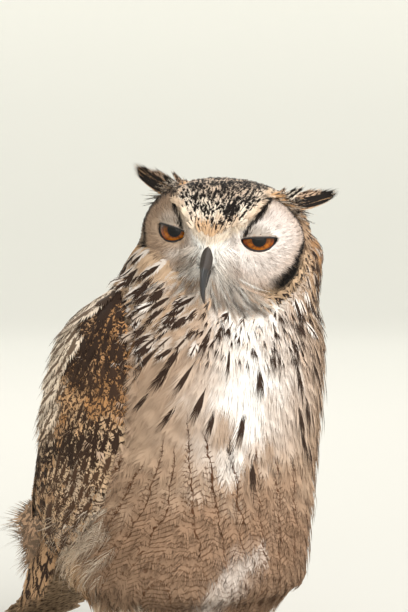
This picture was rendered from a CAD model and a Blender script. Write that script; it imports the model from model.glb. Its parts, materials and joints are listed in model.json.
"""A rock eagle-owl, life size: one seamless skin under solid feathers, with glossy eyes, bill and talons.

Shapes are worked out in the body's own coordinates, where the body faces -Y and the owl's left is +X. BODY_SHIFT
carries them to the model's frame.
"""

from __future__ import annotations

import json
import logging
import math
from dataclasses import dataclass, field, replace
from enum import Enum
from math import cos, pi, radians, sin
from typing import Callable, Iterable, Sequence

import bpy
import numpy as np
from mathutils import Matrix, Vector
from numpy.linalg import norm
from numpy.random import default_rng as seeded

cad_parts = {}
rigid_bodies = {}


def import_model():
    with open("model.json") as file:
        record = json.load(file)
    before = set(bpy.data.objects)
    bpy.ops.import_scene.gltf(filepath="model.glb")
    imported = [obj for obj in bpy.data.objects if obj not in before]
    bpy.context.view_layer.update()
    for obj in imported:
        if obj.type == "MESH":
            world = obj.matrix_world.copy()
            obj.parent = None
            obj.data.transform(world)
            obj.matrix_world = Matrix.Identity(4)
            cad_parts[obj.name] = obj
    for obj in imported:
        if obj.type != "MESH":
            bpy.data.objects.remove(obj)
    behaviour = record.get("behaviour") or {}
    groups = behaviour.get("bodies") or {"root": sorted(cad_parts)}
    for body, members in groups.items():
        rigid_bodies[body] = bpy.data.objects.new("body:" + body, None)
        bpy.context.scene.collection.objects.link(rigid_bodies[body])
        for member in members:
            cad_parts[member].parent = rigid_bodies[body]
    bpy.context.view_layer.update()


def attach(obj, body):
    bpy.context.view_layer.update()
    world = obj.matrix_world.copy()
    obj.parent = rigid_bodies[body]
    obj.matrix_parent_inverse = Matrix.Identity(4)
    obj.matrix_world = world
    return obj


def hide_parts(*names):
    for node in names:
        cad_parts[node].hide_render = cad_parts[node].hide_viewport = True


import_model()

LOG = logging.getLogger("owl")
Array = np.ndarray
Numbers = Sequence[float]
Pair = tuple[float, float]
Change = Callable[[Array], Array]
Surface = Callable[[Array, Array], Array]
Piece, Material = bpy.types.Object, bpy.types.Material
BODY_SHIFT = np.array([-0.0065, -0.05117, 0.0])
PATCH = 0.003  # the size of a feather on the coat's map
ROOTED = 0.0003  # the height of a feather's root over the skin
CLEAR = 0.0025  # and that of any shaft over the floor
SIDES = ((1, "left"), (-1, "right"))
UP = np.array([0.0, 0.0, 1.0])
ACROSS = np.array([1.0, 0.0, 0.0])


# ---- Numbers


def held(*values: float | Numbers) -> Array:
    """A dataclass field that starts as an array of these numbers or rows."""
    return field(default_factory=lambda: np.array(values))


def circle(count: int) -> Array:
    """This many even turns of a full circle, in radians."""
    return np.linspace(0, 2 * pi, count, endpoint=False)


def unit(vectors: Array | Numbers) -> Array:
    """Each vector divided by its length."""
    return vectors / np.maximum(norm(vectors, axis=-1, keepdims=True), 1e-12)


def ease(low: float, high: float, at: Array) -> Array:
    """A smooth step from 0 at low to 1 at high."""
    share = np.clip((np.asarray(at, float) - low) / (high - low), 0, 1)
    return share * share * (3 - 2 * share)


def bell(middle: float, width: float, at: Array) -> Array:
    """A bell that is 1 at the middle and falls to 0.37 at this width from it."""
    return np.exp(-(((at - middle) / width) ** 2))


def blend(share: Array | float, start: Array, end: Array) -> Array:
    """Start where the share is 0 and end where it is 1, for each row of colours."""
    share = np.asarray(share, float)[..., None]
    return start * (1 - share) + end * share


def through(knots: Array, values: Array, at: Array) -> Array:
    """Values on a cubic through the knots, with the slopes of their neighbours."""
    knots, values = np.asarray(knots, float), np.asarray(values, float)
    slopes = np.gradient(values, knots, axis=0)
    at = np.clip(np.asarray(at, float), knots[0], knots[-1])
    left = np.clip(np.searchsorted(knots, at, side="right") - 1, 0, len(knots) - 2)
    step = knots[left + 1] - knots[left]
    share = (at - knots[left]) / step
    if values.ndim > 1:
        step, share = step[:, None], share[:, None]
    return ((2 * share**3 - 3 * share**2 + 1) * values[left]
            + (share**3 - 2 * share**2 + share) * step * slopes[left]
            + (3 * share**2 - 2 * share**3) * values[left + 1]
            + (share**3 - share**2) * step * slopes[left + 1])


def join_softly(first: Array, second: Array, reach: float) -> Array:
    """The union of two distance fields, rounded where they are within reach of each other."""
    near = np.maximum(reach - np.abs(first - second), 0) / reach
    return np.minimum(first, second) - near * near * reach * 0.25


def closed_off(level: Array, at: Array, low: float, high: float) -> Array:
    """Distance outside a column, from that outside its wall, closed off below low and above high."""
    beyond = np.maximum(low - at, at - high)
    return np.where(beyond > 0, np.hypot(np.maximum(level, 0), beyond), level)


def gradient(distance: Change, points: Array, step: float) -> Array:
    """The slope of a distance field, by differences over a step to either side along each axis."""
    return np.stack([(distance(points + step * axis) - distance(points - step * axis)) / (2 * step)
                     for axis in np.eye(3)], axis=-1)


def grain(points: Array, scale: float, seed: int) -> Array:
    """Smooth value noise between 0 and 1: a lattice of hashed numbers, blended between its corners."""
    at = points / scale
    cell = np.floor(at).astype(np.int64)
    share = at - cell
    share = share * share * (3 - 2 * share)
    primes, mixer = np.array([374761393, 668265263, 2147483647]), 1274126177
    total = np.zeros(points.shape[:-1])
    for corner in range(8):
        offset = np.array([corner & 1, corner >> 1 & 1, corner >> 2 & 1])
        code = (cell + offset) @ primes + seed * mixer
        code = (code ^ (code >> 13)) * mixer & 0xFFFFFFFF
        number = (code ^ (code >> 16) & 0xFFFF) % 65536 / 65535.0
        total += number * np.prod(np.where(offset == 1, share, 1 - share), axis=-1)
    return total


# ---- The skin's shape, as a distance field


@dataclass(frozen=True)
class TrunkShape:
    """Trunk and neck: superelliptic level sections, whose sizes follow a cubic through the stations."""

    stations: Array = held(
        (0.034, 0.005, 0.084, -0.080, 0.066), (0.085, 0.006, 0.092, -0.091, 0.083),
        (0.130, 0.006, 0.095, -0.098, 0.086), (0.175, 0.006, 0.096, -0.102, 0.079),
        (0.215, 0.007, 0.095, -0.103, 0.067), (0.245, 0.010, 0.092, -0.099, 0.053),
        (0.272, 0.015, 0.086, -0.089, 0.041), (0.298, 0.0235, 0.084, -0.079, 0.028),
        (0.325, 0.0300, 0.0785, -0.068, 0.014), (0.346, 0.0290, 0.0600, -0.058, 0.002))
    fullness: float = 2.3
    hem_inset: float = 0.008
    hem_rounding: float = 0.026
    neck_rounding: float = 0.042

    def coat(self, height: Array) -> Array:
        """The plumage's depth at these heights: deepest on the belly, and least at the neck."""
        return 0.0042 + 0.0040 * ease(0.33, 0.26, height) + 0.0028 * bell(0.12, 0.07, height)

    def section(self, height: Array, bare: bool = True) -> tuple[Array, Array, Array, Array]:
        """Middle and half extent in x, and in y, at these heights.

        Args:
            height: heights above the floor.
            bare: whether the plumage's depth is taken off.

        Returns:
            Middle x, half width, middle y and half depth.
        """
        knots = self.stations
        off = self.coat(height) if bare else 0.0
        across, width, front, back = through(knots[:, 0], knots[:, 1:], height).T
        low, high = knots[0, 0] + (self.hem_inset if bare else 0.0), knots[-1, 0]
        hem = np.clip((low + self.hem_rounding - height) / self.hem_rounding, 0, 0.97)
        top = np.clip((height - high + self.neck_rounding) / self.neck_rounding, 0, 0.97)
        closing = np.sqrt((1 - hem**2) * (1 - top**2))
        return across, (width - off) * closing, (front + back) / 2, ((back - front) / 2 - off) * closing

    def distance(self, points: Array) -> Array:
        """Distance outside the section at each point's height, along the ray from its middle."""
        table = np.linspace(self.stations[0, 0], self.stations[-1, 0], 220)
        sizes = [np.interp(points[..., 2], table, size) for size in self.section(table)]
        x, y = points[..., 0] - sizes[0], points[..., 1] - sizes[2]
        share = ((np.abs(x) / sizes[1]) ** self.fullness + (np.abs(y) / sizes[3]) ** self.fullness)
        share = np.maximum(share, 1e-9) ** (1 / self.fullness)
        level = np.hypot(x, y) * (1 - 1 / share)
        return closed_off(level, points[..., 2], self.stations[0, 0] + self.hem_inset, self.stations[-1, 0])

    def spot(self, turn: Array, height: Array) -> Array:
        """Points of the skin at turns from straight ahead (positive to the owl's left) and heights."""
        across, width, middle, depth = self.section(height)
        x, y = np.sin(turn), -np.cos(turn)
        p = self.fullness
        share = ((np.abs(x) / width) ** p + (np.abs(y) / depth) ** p) ** (-1 / p)
        return np.stack([across + x * share, middle + y * share, height], axis=-1)


def turn_matrix(yaw: float, pitch: float, roll: float) -> Array:
    """The rotation that rolls about y, then pitches about x, then turns about z, by degrees."""
    c, s = (lambda a: cos(radians(a))), (lambda a: sin(radians(a)))
    about_z = np.array([[c(yaw), -s(yaw), 0], [s(yaw), c(yaw), 0], [0, 0, 1]])
    about_x = np.array([[1, 0, 0], [0, c(pitch), -s(pitch)], [0, s(pitch), c(pitch)]])
    about_y = np.array([[c(roll), 0, s(roll)], [0, 1, 0], [-s(roll), 0, c(roll)]])
    return about_z @ about_x @ about_y


@dataclass(frozen=True)
class HeadShape:
    """The head: an ellipsoid with brows and face discs, in axes of its own (x to its left, y back, z up)."""

    centre: Array = held(0.0062, -0.0535, 0.321)
    axes: Array = field(default_factory=lambda: turn_matrix(-51.0, 12.0, 5.7))
    half_width: float = 0.0625
    face_depth: float = 0.046
    nape_depth: float = 0.056
    half_height: float = 0.0475
    fullness: float = 2.25
    eye: Array = held(0.0290, -0.0195, 0.0130)
    lid_radius: float = 0.0160

    def to_local(self, points: Array) -> Array:
        """Body coordinates as the head's own."""
        return (points - self.centre) @ self.axes

    def to_body(self, local: Array) -> Array:
        """The head's own coordinates as the body's."""
        return self.centre + local @ self.axes.T

    def turned(self, directions: Array) -> Array:
        """Directions in the head's axes as the body's."""
        return directions @ self.axes.T

    def outline(self, directions: Array) -> Array:
        """Distance from the centre to the plumage's outside, along unit directions in the head's axes."""
        side = np.abs(directions[..., 0])
        mirrored = np.stack([side, directions[..., 1], directions[..., 2]], axis=-1)
        depth = np.where(directions[..., 1] < 0, self.face_depth, self.nape_depth)
        p = self.fullness
        radius = ((side / self.half_width) ** p + (np.abs(directions[..., 1]) / depth) ** p
                  + (np.abs(directions[..., 2]) / self.half_height) ** p) ** (-1 / p)
        eye = unit([0.66, -0.70, 0.28])

        def bump(axis: Numbers, width: float) -> Array:
            """1 along an axis, falling over this many degrees."""
            return np.exp((mirrored @ unit(axis) - 1) / (1 - cos(radians(width))))

        radius = radius - 0.0085 * bump(eye, 17)
        radius = radius + 0.0075 * bump((0.0, -1.0, 0.02), 15)
        radius = radius + 0.0030 * bump((0.50, -0.62, -0.52), 20)
        for share in np.linspace(0, 1, 5):
            along = (1 - share) * np.array([0.10, -0.95, 0.30]) + share * np.array([0.66, -0.24, 0.66])
            radius = radius + (0.0030 - 0.0008 * share) * bump(along, 9)
        away = np.degrees(np.arccos(np.clip(mirrored @ eye, -1, 1)))
        return radius + 0.0022 * np.clip((side - 0.55) / 0.25, 0, 1) * bell(38, 7, away)

    def coat(self, directions: Array) -> Array:
        """The plumage's depth: shallow on the face, deep on the nape."""
        return 0.0028 + 0.0022 * ease(-0.5, 0.6, directions[..., 1])

    def distance(self, points: Array) -> Array:
        """Distance outside the skin along the ray from the head's centre, joined to the lids' two spheres."""
        local = self.to_local(points)
        reach = norm(local, axis=-1)
        directions = local / np.maximum(reach, 1e-9)[..., None]
        away = (reach - self.outline(directions) + self.coat(directions)) * 0.95
        mirrored = np.concatenate([np.abs(local[..., :1]), local[..., 1:]], axis=-1)
        return join_softly(away, norm(mirrored - self.eye, axis=-1) - self.lid_radius, 0.003)

    def spot(self, directions: Array) -> Array:
        """Points of the skin along unit directions in the head's axes."""
        return self.to_body(directions * (self.outline(directions) - self.coat(directions))[..., None])


@dataclass(frozen=True)
class WingShape:
    """A folded wing: level sections, each an ellipse bent round the body."""

    side: int = 1
    stations: Array = held(
        (0.292, 0.060, -0.016, 0.008, 0.004, 0.080, 0.0), (0.262, 0.080, -0.004, 0.046, 0.012, 0.086, 4.0),
        (0.220, 0.090, 0.009, 0.071, 0.014, 0.088, 9.0), (0.170, 0.090, 0.024, 0.077, 0.014, 0.090, 16.0),
        (0.122, 0.084, 0.046, 0.070, 0.013, 0.088, 24.0), (0.086, 0.066, 0.072, 0.054, 0.012, 0.090, 29.0),
        (0.066, 0.045, 0.104, 0.040, 0.009, 0.100, 30.0), (0.052, 0.032, 0.132, 0.026, 0.007, 0.130, 26.0),
        (0.038, 0.025, 0.162, 0.008, 0.003, 0.200, 20.0))
    span: Pair = (0.040, 0.290)
    coat: float = 0.0045
    left_shift: float = 0.013

    def section(self, height: Array) -> list[Array]:
        """Bend centre x and y, half width, half thickness, bend and facing, at these heights."""
        knots = self.stations[::-1]
        x, y, width, thickness, bend, facing = through(knots[:, 0], knots[:, 1:], height).T
        shift = self.left_shift * np.clip((height - 0.07) / 0.06, 0, 1) if self.side > 0 else 0.0
        facing = np.radians(facing)
        width, thickness = np.maximum(width - 0.008, 0.003), np.maximum(thickness - self.coat, 0.0016)
        return [x + shift - bend * np.cos(facing), y - bend * np.sin(facing), width, thickness, bend, facing]

    def distance(self, points: Array) -> Array:
        """Distance outside the bent ellipse at each point's height."""
        table = np.linspace(*self.span, 160)
        sizes = [np.interp(points[..., 2], table, size) for size in self.section(table)]
        x, y = points[..., 0] * self.side - sizes[0], points[..., 1] - sizes[1]
        along = (np.arctan2(y, x) - sizes[5]) * sizes[4]
        out = np.hypot(x, y) - sizes[4]
        share = np.maximum(np.hypot(along / sizes[2], out / sizes[3]), 1e-6)
        return closed_off(np.hypot(along, out) * (1 - 1 / share), points[..., 2], *self.span)

    def spot(self, across: Array, height: Array) -> Array:
        """Points of the outer face at shares across (-1 front, 1 back) and heights."""
        x, y, width, thickness, bend, facing = self.section(height)
        turn = facing + across * width / bend
        reach = bend + thickness * np.sqrt(np.clip(1 - across**2, 0, 1))
        return np.stack([(x + reach * np.cos(turn)) * self.side, y + reach * np.sin(turn), height], axis=-1)


@dataclass(frozen=True)
class Limb:
    """A round-ended cone between two places."""

    start: Array
    end: Array
    start_radius: float
    end_radius: float
    flatness: float = 1.0

    def distance(self, points: Array) -> Array:
        """Distance outside the cone, from the nearest place on its middle line."""
        span = self.end - self.start
        share = np.clip((points - self.start) @ span / (span @ span), 0, 1)
        offset = points - self.start - share[..., None] * span
        offset = offset * np.array([1, 1, 1 / self.flatness])
        return norm(offset, axis=-1) - self.start_radius - share * (self.end_radius - self.start_radius)


@dataclass(frozen=True)
class TailShape:
    """The folded tail's core: a flat slab from the rump to the floor."""

    start: Array = held(0.0, 0.062, 0.101)
    end: Array = held(0.0, 0.204, 0.0030)
    half_widths: Pair = (0.024, 0.040)
    half_depths: Pair = (0.0075, 0.0015)

    def frame(self) -> tuple[Array, Array, float]:
        """Direction along the tail, direction out of its upper face, and its length."""
        span = self.end - self.start
        along = unit(span)
        return along, np.cross(ACROSS, along), float(norm(span))

    def distance(self, points: Array) -> Array:
        """Distance outside an ellipse across the tail that widens and thins along it."""
        along, over, length = self.frame()
        local = points - self.start
        reach = local @ along
        share = np.clip(reach / length, 0, 1)
        width = self.half_widths[0] + share * (self.half_widths[1] - self.half_widths[0])
        depth = self.half_depths[0] + share * (self.half_depths[1] - self.half_depths[0])
        x, n = local[..., 0], local @ over
        ratio = np.maximum(np.hypot(x / width, n / depth), 1e-6)
        return closed_off(np.hypot(x, n) * (1 - 1 / ratio), reach, 0, length)


BALL = np.array([0.037, -0.006, 0.0105])
TOES = (("middle", 12.0, 0.040, 0.026), ("inner", -24.0, 0.035, 0.027),
        ("outer", 76.0, 0.032, 0.023), ("hind", 196.0, 0.026, 0.024))


def toe_direction(degrees: float, side: int) -> Array:
    """Level direction at this angle from straight ahead, towards the outside of that foot."""
    turn = radians(degrees)
    return np.array([sin(turn) * side, -cos(turn), 0.0])


@dataclass(frozen=True)
class LegShape:
    """One leg: feathered thigh, shank and four toes, on the floor."""

    HIP = (0.040, -0.006, 0.075)
    KNEE = (0.037, -0.006, 0.030)
    HOCK = (0.037, -0.006, 0.032)
    side: int = 1

    def parts(self) -> list[Limb]:
        """The leg's cones, inside the plumage."""
        flip = np.array([self.side, 1, 1])
        ball = BALL * flip
        hip, knee, hock = (flip * place for place in (self.HIP, self.KNEE, self.HOCK))
        made = [Limb(hip, knee, 0.031, 0.0165), Limb(hock, ball + np.array([0, 0, 0.001]), 0.0135, 0.0105)]
        for _, degrees, length, _ in TOES:
            ahead = toe_direction(degrees, self.side)
            base, tip = ball + ahead * 0.004, ball + ahead * (length - 0.006)
            made.append(Limb(np.array([*base[:2], 0.0076]), np.array([*tip[:2], 0.0058]), 0.0070, 0.0052))
        return made

    def distance(self, points: Array) -> Array:
        """Distance outside the leg."""
        total = None
        for part in self.parts():
            away = part.distance(points)
            total = away if total is None else join_softly(total, away, 0.004)
        return total


class Region(Enum):
    """The skin's parts, by what grows on them."""

    TRUNK = 0
    HEAD = 1
    WING = 2
    LEG = 3
    TAIL = 4


ALL = tuple(Region)


class SkinField:
    """The whole skin as one smooth distance field, and points carried over it.

    REACH is how near each region's shape blends into those before it, and STEP is where slopes are measured.
    """

    REACH = {Region.HEAD: 0.012, Region.WING: 0.004, Region.LEG: 0.008, Region.TAIL: 0.006}
    RUMP_REACH = 0.03
    STEP = 0.0005

    def __init__(self) -> None:
        """Makes the shapes."""
        self.trunk, self.head, self.tail = TrunkShape(), HeadShape(), TailShape()
        self.wings = {side: WingShape(side) for side in (1, -1)}
        self.legs = {side: LegShape(side) for side in (1, -1)}
        self.rump = Limb(np.array([0, 0.045, 0.120]), np.array([0, 0.100, 0.082]), 0.034, 0.014, 0.8)
        self.shapes = {Region.TRUNK: (self.trunk, self.rump), Region.HEAD: (self.head,),
                       Region.WING: tuple(self.wings.values()), Region.LEG: tuple(self.legs.values()),
                       Region.TAIL: (self.tail,)}

    def parts(self, points: Array, only: Iterable[Region] = ALL) -> dict[Region, Array]:
        """Distance from each region's own shapes; only trunk and rump run softly into each other."""
        made = {}
        for region in only:
            away, *other = (shape.distance(points) for shape in self.shapes[region])
            if region is Region.TRUNK:
                away = join_softly(away, *other, self.RUMP_REACH)
            elif other:
                away = np.minimum(away, *other)
            made[region] = away
        return made

    def distance(self, points: Array, only: Iterable[Region] = ALL) -> Array:
        """The rounded union of the regions' distances."""
        total = None
        for region, away in self.parts(points, only).items():
            total = away if total is None else join_softly(total, away, self.REACH[region])
        return total

    def settle(self, points: Array, level: Array | float, only: Iterable[Region],
               times: int = 2) -> tuple[Array, Array]:
        """Moves points along the gradient to a level of the field.

        Args:
            points: where they start.
            level: the height above the skin that they should have.
            only: the regions whose skin they follow.
            times: how often they are moved.

        Returns:
            The points and their unit normals.
        """
        slope = points
        for _ in range(times):
            here = self.distance(points, only)
            slope = gradient(lambda near: self.distance(near, only), points, self.STEP)
            size = np.maximum(np.sum(slope**2, axis=-1), 0.2)
            points = points - ((here - level) / size)[..., None] * slope
        return points, unit(slope)


def net(values: Array, low: Array, step: float) -> tuple[Array, Array]:
    """A closed quad mesh where a grid of values changes sign.

    Each cell that the surface crosses holds one vertex, at the mean of the crossings on the cell's edges, and each
    grid edge that changes sign makes a quad of the four cells round it.

    Args:
        values: the field on a regular grid.
        low: the grid's first corner.
        step: the grid's spacing.

    Returns:
        Vertices and quads.
    """
    inside = values < 0
    corners = [(i, j, k) for i in (0, 1) for j in (0, 1) for k in (0, 1)]
    count = sum(inside[tuple(slice(c, size - 1 + c) for c, size in zip(corner, inside.shape))].astype(np.int8)
                for corner in corners)
    cells = np.argwhere((count > 0) & (count < 8))
    number = -np.ones(count.shape, np.int64)
    number[tuple(cells.T)] = np.arange(len(cells))
    total, hits = np.zeros((len(cells), 3)), np.zeros(len(cells))
    for a in corners:
        for axis in range(3):
            if a[axis]:
                continue
            b = tuple(c + (n == axis) for n, c in enumerate(a))
            first = values[tuple((cells + a).T)]
            second = values[tuple((cells + b).T)]
            crossed = (first < 0) != (second < 0)
            share = np.where(crossed, first / np.where(crossed, first - second, 1), 0)
            spot = np.array(a, float) + share[:, None] * np.eye(3)[axis]
            total += spot * crossed[:, None]
            hits += crossed
    vertices = low + (cells + total / hits[:, None]) * step
    quads = []
    for axis in range(3):
        others = [n for n in range(3) if n != axis]
        start = [slice(1, -1)] * 3
        start[axis] = slice(0, -1)
        ahead = list(start)
        ahead[axis] = slice(1, None)
        first, second = inside[tuple(start)], inside[tuple(ahead)]
        where = np.argwhere(first != second)
        flip = first[tuple(where.T)]
        spot = where + np.array([0 if n == axis else 1 for n in range(3)])
        ring = []
        for da, db in ((0, 0), (1, 0), (1, 1), (0, 1)):
            offset = np.zeros(3, int)
            offset[others[0]], offset[others[1]] = -da, -db
            ring.append(number[tuple((spot + offset).T)])
        quad = np.stack(ring, axis=-1)
        turned = flip if axis != 1 else ~flip
        quads.append(np.where(turned[:, None], quad, quad[:, ::-1]))
    return vertices, np.concatenate(quads)


# ---- Meshes


def make_object(name: str, vertices: Array, faces: Array, attributes: dict[str, Array] | None = None,
                uvs: dict[str, Array] | None = None) -> Piece:
    """A smooth shaded object of faces that all have as many corners.

    Args:
        name: the piece's name.
        vertices: places in body coordinates.
        faces: vertex numbers, one row for each face.
        attributes: numbers or vectors for each vertex, by attribute name.
        uvs: a pair for each vertex, by map name.

    Returns:
        The object, at the origin.
    """
    mesh = bpy.data.meshes.new(name)
    size = faces.shape[1]
    mesh.vertices.add(len(vertices))
    mesh.vertices.foreach_set("co", (vertices + BODY_SHIFT).astype(np.float32).ravel())
    mesh.loops.add(faces.size)
    mesh.loops.foreach_set("vertex_index", faces.astype(np.int32).ravel())
    mesh.polygons.add(len(faces))
    mesh.polygons.foreach_set("loop_start", np.arange(0, faces.size, size, dtype=np.int32))
    mesh.polygons.foreach_set("use_smooth", np.full(len(faces), True))
    for key, pairs in (uvs or {}).items():
        layer = mesh.uv_layers.new(name=key)
        layer.data.foreach_set("uv", pairs[faces.ravel()].astype(np.float32).ravel())
    for key, values in (attributes or {}).items():
        kind, slot_name = ("FLOAT", "value") if values.ndim == 1 else ("FLOAT_VECTOR", "vector")
        layer = mesh.attributes.new(key, kind, "POINT")
        layer.data.foreach_set(slot_name, values.astype(np.float32).ravel())
    mesh.update(calc_edges=True)
    mesh.validate()
    made = bpy.data.objects.new(name, mesh)
    bpy.context.scene.collection.objects.link(made)
    return made


def ring_faces(rings: int, around: int) -> Array:
    """Triangles between rings of as many points each, which are numbered ring by ring."""
    i, j = np.meshgrid(np.arange(rings - 1), np.arange(around), indexing="ij")
    a, b = (i * around + j).ravel(), (i * around + (j + 1) % around).ravel()
    return np.concatenate([np.stack([a, b, b + around], -1), np.stack([a, b + around, a + around], -1)])


def closed_faces(rings: int, around: int) -> Array:
    """The same with two poles, numbered after the rings, that close both ends."""
    k, last, poles = np.arange(around), (rings - 1) * around, rings * around
    following = (k + 1) % around
    return np.concatenate([ring_faces(rings, around), np.stack([following, k, np.full(around, poles)], -1),
                           np.stack([last + k, last + following, np.full(around, poles + 1)], -1)])


def install(piece: Piece, material: Material, nodes: Sequence[str] = ()) -> Piece:
    """Dresses a piece, rides it on the root body and names what it replaces."""
    piece.data.materials.append(material)
    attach(piece, "root")
    if nodes:
        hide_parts(*nodes)
    LOG.info("%s: %d faces", piece.name, len(piece.data.polygons))
    return piece


# ---- Colours


def tint(red: float, green: float, blue: float) -> Array:
    """A colour given as a screen shows it, 0 to 255, as linear light."""
    share = np.array([red, green, blue], float) / 255
    return np.where(share <= 0.04045, share / 12.92, ((share + 0.055) / 1.055) ** 2.4)


class Tint:
    """The plumage's colours."""

    WHITE = tint(253, 249, 244)
    CREAM = tint(242, 227, 208)
    SAND = tint(211, 180, 147)
    TAN = tint(184, 147, 112)
    ORANGE = tint(206, 160, 112)
    DISC = tint(232, 221, 214)
    GREY = tint(158, 145, 132)
    SMOKE = tint(118, 99, 82)
    UMBER = tint(80, 58, 43)
    DARK = tint(52, 37, 28)
    BLACK = tint(27, 22, 19)
    BAR = tint(86, 56, 36)
    MILK = tint(241, 232, 224)
    BUFF = tint(181, 154, 130)
    FAWN = tint(154, 124, 100)
    HEM = tint(143, 117, 95)
    RUST = tint(176, 130, 86)


@dataclass
class Marks:
    """The colours and pattern at some places, one row each.

    ground and mark are colours. pattern is the dark streak's width as a share of the vane, how far the bars reach
    out from the shaft, and the mottling's strength. detail is the number of bars, a seed and the bars' share of
    their spacing.
    """

    ground: Array
    mark: Array
    pattern: Array
    detail: Array

    def __len__(self) -> int:
        """How many places they are for."""
        return len(self.ground)

    @classmethod
    def plain(cls, count: int, ground: Array, mark: Array, pattern: Numbers,
              detail: Numbers) -> Marks:
        """The same marks at every place."""
        return cls(*(np.tile(np.asarray(value, float), (count, 1)) for value in (ground, mark, pattern, detail)))

    def attributes(self) -> dict[str, Array]:
        """The marks by the names of the attributes that carry them."""
        return {key.title(): values for key, values in vars(self).items()}

    @classmethod
    def combined(cls, change: Callable[..., Array], *each: Marks) -> Marks:
        """Marks whose every array is what change makes of the same array of each of these."""
        return cls(*(change(*arrays) for arrays in zip(*(vars(marks).values() for marks in each))))

    def paint(self, share: Array | float, *values: Array | Numbers | None) -> Marks:
        """Lays values over these by a share, in the fields' order; those that are None or left out stay."""
        mixed = list(vars(self).values())
        for number, value in enumerate(values):
            if value is not None:
                mixed[number] = blend(share, mixed[number], np.asarray(value, float))
        return Marks(*mixed)

    def painted(self, *coats: tuple) -> Marks:
        """These marks after several coats of paint, each a share and its values."""
        made = self
        for share, *values in coats:
            made = made.paint(share, *values)
        return made


Retouch = Callable[[Marks], Marks]
MARKED_AT = 0.6  # the share of a feather's length where its marks are taken


def unchanged(marks: Marks) -> Marks:
    """The same marks."""
    return marks


class HeadAxes:
    """Directions in the head's own axes, on its left side."""

    EYE = unit([0.66, -0.70, 0.28])
    BROW = unit(np.cross(np.array([0.10, -0.95, 0.30]), np.array([0.66, -0.24, 0.66])))
    BILL = unit([0.0, -0.90, -0.06])
    MARK_FROM, MARK_TO = unit([0.62, -0.16, 0.77]), unit([0.51, -0.76, 0.40])

    @classmethod
    def above(cls, near: Array) -> Array:
        """Height over the crown's border, which runs from the bill over the eyes and then bends inward."""
        inward = 0.17 * ease(-0.55, -0.05, near[:, 1]) + 0.06 * ease(0.22, 0.04, near[:, 0])
        return near @ cls.BROW - inward

    @classmethod
    def brow_mark(cls, near: Array) -> Array:
        """Distance from the arc of the dark brow mark, as an angle."""
        span = cls.MARK_TO - cls.MARK_FROM
        share = np.clip((near - cls.MARK_FROM) @ span / (span @ span), 0, 1)
        return norm(near - unit(cls.MARK_FROM + share[:, None] * span), axis=1)


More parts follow.
